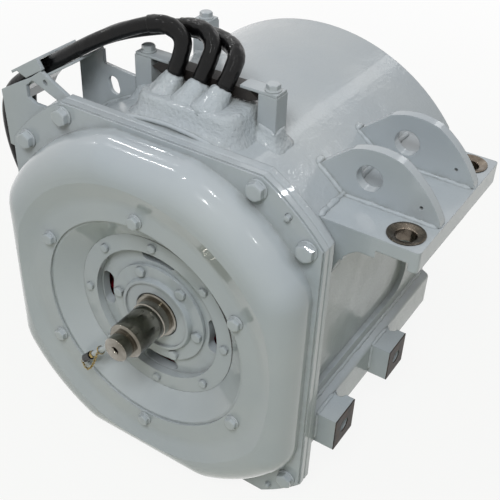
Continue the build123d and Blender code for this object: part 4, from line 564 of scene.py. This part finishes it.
Bolts = namedtuple("Bolts", "axes places shank_r length flats washer_t")
BOLTS = {
    "flange_bolts": Bolts(
        FORWARD, on_circle(0.337, FLANGE_BOLT_ANGLES, FLANGE_FACE_Y),
        shank_r=0.008, length=0.029, flats=0.024, washer_t=0.003,
    ),
    "hood_bolts": Bolts(
        FORWARD, on_circle(0.200, spread(6, 30), 0.005),
        shank_r=0.006, length=0.014, flats=0.018, washer_t=0.0025,
    ),
    "bowl_bolts": Bolts(
        FORWARD, on_circle(0.132, spread(8), 0.040),
        shank_r=0.004, length=0.014, flats=0.013, washer_t=0.0,
    ),
    "cap_bolts": Bolts(
        FORWARD, on_circle(0.077, spread(6, 53), 0.048),
        shank_r=0.005, length=0.049, flats=0.016, washer_t=0.0,
    ),
    "jack_screws": Bolts(
        FORWARD, on_circle(0.344, JACK_SCREW_ANGLES, FLANGE_FACE_Y),
        shank_r=0.005, length=0.010, flats=0.008, washer_t=0.0,
    ),
    "rear_shield_bolts": Bolts(
        REARWARD, on_circle(0.242, spread(12, 15), 0.548),
        shank_r=0.005, length=0.032, flats=0.016, washer_t=0.0,
    ),
    "rear_cap_bolts": Bolts(
        REARWARD, on_circle(0.073, spread(6), 0.557),
        shank_r=0.005, length=0.021, flats=0.016, washer_t=0.0,
    ),
    "clamp_bolts": Bolts(
        UPWARD, [Vector((x, y, z + CLAMP_PLATE_T)) for x, y, z in POSTS],
        shank_r=0.006, length=0.024, flats=0.018, washer_t=0.0025,
    ),
}

for bolts_name, bolt_set in BOLTS.items():
    dressed = add_piece(
        bolts_name + "_dressed", [bolt_rings(bolt_set, place) for place in bolt_set.places],
        "grey_enamel", "smooth_enamel", sharp=BOLT_SHARP_ANGLE,
    )
    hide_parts(bolts_name)


# Weld beads and thick paint in the corners

BEAD_STEP = 0.0026
BEAD_SIDES = 10
BEAD_LUMPS = 0.3
BEAD_END_SHARE = 0.35
BEAD_TAPER_STEP = 0.3
BEAD_ROUGH_SCALE = 170.0
BEAD_WAVE_SCALE = 60.0
BEAD_SEED_STEP = 3.7


def walk(points, step):
    """Places at even steps along a line of points."""
    places = [Vector(points[0])]
    for start, end in zip(points, points[1:]):
        start, end = Vector(start), Vector(end)
        count = max(1, round((end - start).length / step))
        places += [start.lerp(end, (i + 1) / count) for i in range(count)]
    return places


def bead_rings(points, radius, seed, lumps=BEAD_LUMPS):
    """A lumpy round bead along a line, thin at both ends."""
    places = walk(points, BEAD_STEP)
    last = len(places) - 1
    rings = []
    for i, place in enumerate(places):
        ahead = (places[min(i + 1, last)] - places[max(i - 1, 0)]).normalized()
        side = ahead.orthogonal().normalized()
        up = ahead.cross(side)
        taper = min(1.0, BEAD_END_SHARE + BEAD_TAPER_STEP * min(i, last - i))
        ring = []
        for turn in turns(BEAD_SIDES):
            out = side * math.cos(turn) + up * math.sin(turn)
            rough = noise.noise((place + out * radius + shifted(seed)) * BEAD_ROUGH_SCALE)
            wave = noise.noise(place * BEAD_WAVE_SCALE + Vector((0, seed, 0)))
            ring.append(place + out * (radius * taper * (1.0 + lumps * rough + lumps * wave)))
        rings.append(ring)
    return rings


def on_frame(x):
    """Height of the frame's round top at a place across it."""
    return math.sqrt(FRAME_R ** 2 - x ** 2)


def over_frame(start, stop, y):
    """A line across the frame's round top, from one place to another, both in millimetres."""
    return [(x / 1000.0, y, on_frame(x / 1000.0)) for x in range(start, stop, 4)]


RIB_BEAD_R = 0.0042
RIB_BEAD_OFF = 0.001
RIB_PLATE_XS = (0.224, 0.366)
RIB_FRAME_MM = (178, 225)
RIB_HEEL_X = 0.177
RIB_HEEL_BEAD_R = 0.0060
RIB_HEEL_BEAD_OFF = 0.002
RIB_TOE_X = 0.368
RIB_TOE_BEAD_R = 0.0030


def rib_beads(front_y):
    """Beads where one rib meets the plate and the frame, on both of its faces."""
    near, far = RIB_PLATE_XS
    lines = []
    for y in (front_y - RIB_BEAD_OFF, front_y + RIB_T + RIB_BEAD_OFF):
        lines.append(([(near, y, PLATE_TOP_Z), (far, y, PLATE_TOP_Z)], RIB_BEAD_R))
        lines.append((over_frame(*RIB_FRAME_MM, y), RIB_BEAD_R))
    heel_ys = (front_y - RIB_HEEL_BEAD_OFF, front_y + RIB_T + RIB_HEEL_BEAD_OFF)
    lines.append(([(RIB_HEEL_X, y, on_frame(RIB_HEEL_X)) for y in heel_ys], RIB_HEEL_BEAD_R))
    lines.append(([(RIB_TOE_X, y, PLATE_TOP_Z) for y in (front_y, front_y + RIB_T)], RIB_TOE_BEAD_R))
    return lines


PLATE_BEAD_R = 0.0050
RAIL_BEAD_R = 0.0040
RAIL_TOP_Z = -0.105
RAIL_REAR_Y = 0.532
SMALL_BEAD_R = 0.0036
LUG_YS = (0.137, 0.328)
LUG_HALF_LENGTH = 0.031
LUG_BEAD_X = 0.265
LUG_BEAD_ZS = (-0.117, -0.170)
LUG_TOP_BEAD_Z = -0.115
LUG_TOP_BEAD_REACH = 0.022
SHOULDER_FRONT_LINE = (-262, -170, 0.090)
SHOULDER_REAR_LINE = (-226, -122, 0.162)


def make_beads():
    lines = []
    for front_y in RIB_FRONT_YS:
        lines += rib_beads(front_y)
    plate_root = math.sqrt(FRAME_R ** 2 - PLATE_TOP_Z ** 2)
    lines.append(([(plate_root, y, PLATE_TOP_Z) for y in (PLATE_FRONT_Y, PLATE_REAR_Y)], PLATE_BEAD_R))
    lines.append(([(FRAME_RIGHT_X, y, RAIL_TOP_Z) for y in (FLANGE_REAR_Y, RAIL_REAR_Y)], RAIL_BEAD_R))
    for y in LUG_YS:
        for side in (y - LUG_HALF_LENGTH, y + LUG_HALF_LENGTH):
            lines.append(([(LUG_BEAD_X, side, z) for z in LUG_BEAD_ZS], SMALL_BEAD_R))
        top_ys = (y - LUG_HALF_LENGTH, y + LUG_TOP_BEAD_REACH)
        lines.append(([(LUG_BEAD_X, end, LUG_TOP_BEAD_Z) for end in top_ys], SMALL_BEAD_R))
    lines.append((over_frame(*SHOULDER_FRONT_LINE), SMALL_BEAD_R))
    lines.append((over_frame(*SHOULDER_REAR_LINE), SMALL_BEAD_R))
    groups = [bead_rings(points, radius, BEAD_SEED_STEP * i) for i, (points, radius) in enumerate(lines)]
    add_piece("weld_beads", groups, "grey_enamel")


make_beads()


# Cast boss under the cables and the posts' feet, rounded and thick with paint

MOUND_SIDES = 120
MOUND_SQUARENESS = 5.0
MOUND_LUMP_SCALE = 55.0
MOUND_FINE_SCALE = 150.0
MOUND_FINE_SHARE = 0.5
MOUND_LEAN = 0.8


def mound_on_frame(middle, sections, lumps, seed):
    """Rings of a rounded block that grows out of the frame's round top.

    Each section gives its half width, half depth and its height from the frame, 0, to its top, 1.
    """
    centre_x, centre_y, top = middle
    rings = []
    for half_x, half_y, rise in sections:
        ring = []
        for turn in turns(MOUND_SIDES):
            c, s = math.cos(turn), math.sin(turn)
            x = centre_x + half_x * math.copysign(abs(c) ** (2 / MOUND_SQUARENESS), c)
            y = centre_y + half_y * math.copysign(abs(s) ** (2 / MOUND_SQUARENESS), s)
            foot = on_frame(x)
            place = Vector((x, y, foot + (top - foot) * rise))
            lump = noise.noise(place * MOUND_LUMP_SCALE + shifted(seed))
            lump += MOUND_FINE_SHARE * noise.noise(place * MOUND_FINE_SCALE)
            out = Vector((c, s, MOUND_LEAN)).normalized()
            ring.append(place + out * (lumps * lump))
        rings.append(ring)
    return rings


BOSS_MIDDLE = (0.008, 0.150, 0.341)
BOSS_SECTIONS = (
    (0.101, 0.062, -0.10), (0.099, 0.060, 0.0), (0.094, 0.056, 0.10), (0.089, 0.052, 0.35),
    (0.085, 0.049, 0.70), (0.082, 0.047, 0.90), (0.078, 0.044, 0.98), (0.072, 0.039, 1.0),
    (0.050, 0.026, 1.0), (0.020, 0.010, 1.0),
)
BOSS_LUMPS = 0.0016
BOSS_SEED = 2.0
FOOT_SECTIONS = (
    (0.031, 0.028, -0.12), (0.029, 0.026, 0.0), (0.0235, 0.0215, 0.05), (0.0195, 0.0180, 0.14),
    (0.0168, 0.0156, 0.26), (0.0154, 0.0144, 0.36), (0.013, 0.012, 0.37),
)
FOOT_BELOW_TOP = 0.010
FOOT_LUMPS = 0.0011
FOOT_SEED_STEP = 7.0

boss_rings = mound_on_frame(BOSS_MIDDLE, BOSS_SECTIONS, BOSS_LUMPS, BOSS_SEED)
boss = add_piece("boss_casting", [boss_rings], "grey_enamel", "cast_enamel")
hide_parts("outlet_boss")

feet = [
    mound_on_frame((x, y, z - FOOT_BELOW_TOP), FOOT_SECTIONS, FOOT_LUMPS, FOOT_SEED_STEP * i)
    for i, (x, y, z) in enumerate(POSTS)
]
add_piece("post_feet", feet, "grey_enamel", "cast_enamel")


# Run of thick paint where the round frame meets the back of its flange

FILLET_R = 0.0036
FILLET_LUMPS = 0.12
FILLET_SEED = 11.0
FILLET_LOWEST_Z = FLOOR_Z + FILLET_R * 1.3


def make_flange_fillet():
    line = []
    for degrees in range(0, 361, 2):
        turn = math.radians(degrees)
        x, z = FRAME_R * math.cos(turn), FRAME_R * math.sin(turn)
        line.append((min(max(x, FRAME_LEFT_X), FRAME_RIGHT_X), FLANGE_REAR_Y, max(z, FILLET_LOWEST_Z)))
    add_piece("flange_fillet", [bead_rings(line, FILLET_R, FILLET_SEED, FILLET_LUMPS)], "grey_enamel")


make_flange_fillet()


# Black strip at the upper right of the bowl ring's joint, thinner at its ends: painted shade, a dark piece
# standing where the gap there lies in shadow

SHADOW_STRIP_R = 0.1464
SHADOW_STRIP_Y = 0.0400
SHADOW_STRIP_THICK = 0.0016
SHADOW_STRIP_SIDES = 10
SHADOW_STRIP_ANGLES = range(-28, 107, 2)
SHADOW_STRIP_MIDDLE_ANGLE = 39
SHADOW_STRIP_TAPER = 1.3
SHADOW_STRIP_SHARES = (0.15, 0.85)


def make_gap_shadow_strip():
    rings = []
    for degrees in SHADOW_STRIP_ANGLES:
        turn = math.radians(degrees)
        out = Vector((math.cos(turn), 0, math.sin(turn)))
        fullness = math.cos(math.radians((degrees - SHADOW_STRIP_MIDDLE_ANGLE) * SHADOW_STRIP_TAPER))
        thick = SHADOW_STRIP_THICK * (SHADOW_STRIP_SHARES[0] + SHADOW_STRIP_SHARES[1] * fullness)
        middle = Vector((0, SHADOW_STRIP_Y, 0)) + out * SHADOW_STRIP_R
        rings.append(wire_ring(middle, Vector((0, 1, 0)), out, thick, SHADOW_STRIP_SIDES))
    add_piece("gap_shadow_strip", [rings], "cleat_rubber")


make_gap_shadow_strip()


# Sealing compound heaped round the three cables: heights along the cable and radii there

SEALANT_PROFILE = (
    (-0.036, 0.030), (-0.028, 0.030), (-0.018, 0.0262), (-0.008, 0.0215), (0.001, 0.0180),
    (0.007, 0.0158), (0.010, 0.0140), (0.011, 0.0112),
)
SEALANT_SIDES = 64
SEALANT_LUMP_SCALE = 95.0
SEALANT_FINE_SCALE = 260.0
SEALANT_FINE_SHARE = 0.6
SEALANT_LUMP_OUT = 0.0014
SEALANT_LUMP_UP = 0.0012
SEALANT_SEED_STEP = 5.0


def sealant_rings(route, seed):
    """A lumpy cone of compound round one cable where it leaves the frame."""
    start, ahead = Vector(route[0]), (Vector(route[1]) - Vector(route[0])).normalized()
    side = ahead.orthogonal().normalized()
    up = ahead.cross(side)
    rings = []
    for height, radius in SEALANT_PROFILE:
        ring = []
        for turn in turns(SEALANT_SIDES):
            out = side * math.cos(turn) + up * math.sin(turn)
            place = start + ahead * height + out * radius
            lump = noise.noise(place * SEALANT_LUMP_SCALE + shifted(seed))
            lump += SEALANT_FINE_SHARE * noise.noise(place * SEALANT_FINE_SCALE)
            ring.append(place + out * (SEALANT_LUMP_OUT * lump) + ahead * (SEALANT_LUMP_UP * lump))
        rings.append(ring)
    return rings


heaps = [sealant_rings(CABLE_ROUTES[letter], SEALANT_SEED_STEP * i) for i, letter in enumerate("uvw")]
sealant = add_piece("cable_sealant", heaps, "grey_enamel", "cast_enamel")
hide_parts("cable_glands")


# Links of the grease cap's chain, and its ring round the pipe

CHAIN_ANGLE = math.radians(-134)
CHAIN_START_R = 0.116
CHAIN_END_R = 0.172
CHAIN_Y = -0.003
CHAIN_RING_R = 0.0066
CHAIN_RING_WIRE_R = 0.0009
CHAIN_RING_STEPS = 40
CHAIN_OFF_RING = 0.0088
CHAIN_CLOSER = 0.0035
CHAIN_SAG = 0.024
CHAIN_FORWARD = 0.004
CHAIN_STEPS = 400
CHAIN_LINKS = 17
LINK_HALF_LENGTH = 0.0029
LINK_HALF_WIDTH = 0.0018
LINK_WIRE_R = 0.00065
LINK_STEPS = 18


def link_rings(place, along, turned):
    """One oval link, turned on edge or not. Its wire overlaps where the link closes."""
    side = along.orthogonal().normalized()
    flat = along.cross(side)
    if turned:
        side, flat = flat, side
    rings = []
    for i in range(LINK_STEPS + 1):
        turn = 2 * math.pi * i / LINK_STEPS
        across = side * (LINK_HALF_WIDTH * math.sin(turn))
        middle = place + along * (LINK_HALF_LENGTH * math.cos(turn)) + across
        out = (along * math.cos(turn) + side * math.sin(turn)).normalized()
        rings.append(wire_ring(middle, out, flat, LINK_WIRE_R))
    return rings


def pipe_ring_rings():
    """The ring that holds the chain on the grease pipe."""
    along = Vector((math.cos(CHAIN_ANGLE), 0, math.sin(CHAIN_ANGLE)))
    side = Vector((0, 1, 0))
    flat = along.cross(side)
    centre = Vector((
        CHAIN_START_R * math.cos(CHAIN_ANGLE), CHAIN_Y, CHAIN_START_R * math.sin(CHAIN_ANGLE)
    ))
    rings = []
    for i in range(CHAIN_RING_STEPS + 1):
        turn = 2 * math.pi * i / CHAIN_RING_STEPS
        out = side * math.cos(turn) + flat * math.sin(turn)
        rings.append(wire_ring(centre + out * CHAIN_RING_R, out, along, CHAIN_RING_WIRE_R))
    return rings


def chain_point(share):
    """A place along the hanging chain, from the ring on the pipe to the cap."""
    radius = CHAIN_START_R + (CHAIN_END_R - CHAIN_START_R) * share
    sag = 4 * share * (1 - share)
    return Vector((
        radius * math.cos(CHAIN_ANGLE),
        CHAIN_Y - CHAIN_OFF_RING + CHAIN_CLOSER * share - CHAIN_FORWARD * sag,
        radius * math.sin(CHAIN_ANGLE) - CHAIN_SAG * sag,
    ))


def make_chain():
    line = [chain_point(i / CHAIN_STEPS) for i in range(CHAIN_STEPS + 1)]
    lengths = [0.0]
    for before, after in zip(line, line[1:]):
        lengths.append(lengths[-1] + (after - before).length)
    groups = []
    for i in range(CHAIN_LINKS):
        wanted = lengths[-1] * (i + 0.5) / CHAIN_LINKS
        at = next(j for j, length in enumerate(lengths) if length >= wanted)
        along = (line[min(at + 1, CHAIN_STEPS)] - line[at - 1]).normalized()
        groups.append(link_rings(line[at], along, i % 2 == 1))
    groups.append(pipe_ring_rings())
    piece = add_piece("cap_chain_links", groups, "nipple_brass", body="nipple_cover")
    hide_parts("cap_chain")


make_chain()


# Floor, lamps and backdrop

FLOOR_HALF = 40.0
FLOOR_TONES = ((0.42, 0.45, 0.31, 1.0), (0.46, 0.49, 0.35, 1.0))


def make_floor():
    """A pale floor that the camera sees as near white, whiter with distance, and that keeps shadows."""
    mesh = bpy.data.meshes.new("floor")
    corners = [(x * FLOOR_HALF, y * FLOOR_HALF, FLOOR_Z) for x, y in ((-1, -1), (1, -1), (1, 1), (-1, 1))]
    mesh.from_pydata(corners, [], [(0, 1, 2, 3)])
    floor = bpy.data.objects.new("floor", mesh)
    bpy.context.scene.collection.objects.link(floor)
    s = Shader("floor")
    s.link(s.mix(s.noise(3.0, 2.0), *FLOOR_TONES), "Base Color")
    s.set(Roughness=0.7)
    glow = s.node("ShaderNodeEmission", {"Color": WHITE, "Strength": 1.0})
    path = s.node("ShaderNodeLightPath")
    mirrored = s.math("MAXIMUM", path.outputs["Is Glossy Ray"], path.outputs["Is Transmission Ray"])
    away = s.node("ShaderNodeVectorMath", {0: s.coords}, operation="LENGTH").outputs["Value"]
    white = s.range(away, 0.8, 3.0, 0.9, 1.0)
    seen = s.math("MAXIMUM", s.math("MULTIPLY", path.outputs["Is Camera Ray"], white), mirrored)
    blend = s.node("ShaderNodeMixShader", {0: seen, 1: s.surface.outputs[0], 2: glow.outputs[0]})
    s.tree.links.new(blend.outputs[0], s.tree.nodes["Material Output"].inputs["Surface"])
    mesh.materials.append(s.material)


WORLD_TONE = (0.93, 0.96, 1.0, 1.0)
WORLD_STRENGTH = 0.11


def make_world():
    """A soft sky for the object's light, and white where it is seen or mirrored."""
    world = bpy.data.worlds.new("world")
    bpy.context.scene.world = world
    world.use_nodes = True
    tree = world.node_tree
    path = tree.nodes.new("ShaderNodeLightPath")
    either = tree.nodes.new("ShaderNodeMath")
    either.operation = "MAXIMUM"
    shown = tree.nodes.new("ShaderNodeMath")
    shown.operation = "MAXIMUM"
    tree.links.new(path.outputs["Is Camera Ray"], either.inputs[0])
    tree.links.new(path.outputs["Is Glossy Ray"], either.inputs[1])
    tree.links.new(either.outputs[0], shown.inputs[0])
    tree.links.new(path.outputs["Is Transmission Ray"], shown.inputs[1])
    soft = tree.nodes["Background"]
    soft.inputs["Color"].default_value = WORLD_TONE
    soft.inputs["Strength"].default_value = WORLD_STRENGTH
    bright = tree.nodes.new("ShaderNodeBackground")
    bright.inputs["Color"].default_value = WHITE
    blend = tree.nodes.new("ShaderNodeMixShader")
    tree.links.new(shown.outputs[0], blend.inputs[0])
    tree.links.new(soft.outputs[0], blend.inputs[1])
    tree.links.new(bright.outputs[0], blend.inputs[2])
    tree.links.new(blend.outputs[0], tree.nodes["World Output"].inputs["Surface"])


def make_lamp(name, place, target, size, power, tint=(1.0, 1.0, 1.0), mirrored=True):
    data = bpy.data.lights.new(name, "AREA")
    data.shape = "RECTANGLE"
    data.size, data.size_y = size
    data.energy = power
    data.color = tint
    lamp = bpy.data.objects.new(name, data)
    lamp.visible_glossy = mirrored
    lamp.location = place
    lamp.rotation_mode = "QUATERNION"
    lamp.rotation_quaternion = (Vector(target) - Vector(place)).to_track_quat("-Z", "Y")
    bpy.context.scene.collection.objects.link(lamp)


# Ceiling lamps of the hall, placed where the photograph's small glints point
HALL_LAMPS = (
    (-2.6, -0.05, 1.9), (-1.6, 0.75, 2.45), (-1.5, 1.75, 1.9), (-1.6, -0.15, 2.8), (0.55, -0.16, 2.9),
    (0.35, -1.8, 2.6), (2.1, -0.8, 2.5), (1.3, 2.3, 2.1), (-0.40, -0.80, 3.0),
)
HALL_TARGET = (0.05, 0.1, 0.25)
HALL_SIZE = (0.07, 0.26)
HALL_POWER = 3.0

make_floor()
make_world()
make_lamp(
    "overhead", place=(0.0, 0.5, 2.8), target=(0.0, 0.2, 0.0), size=(1.8, 1.8), power=5.0,
    tint=(1.0, 0.985, 0.96), mirrored=False,
)
make_lamp(
    "front", place=(0.9, -1.9, 2.8), target=(0.0, 0.1, 0.1), size=(1.2, 1.2), power=74.0,
    tint=(0.91, 0.96, 1.0), mirrored=False,
)
make_lamp("window", place=(0.35, 2.9, 2.1), target=(0.05, 0.3, 0.3), size=(0.30, 1.2), power=3.0)
for index, lamp_place in enumerate(HALL_LAMPS):
    make_lamp("hall_%d" % index, lamp_place, HALL_TARGET, HALL_SIZE, HALL_POWER)
bpy.context.scene.view_settings.view_transform = "Standard"
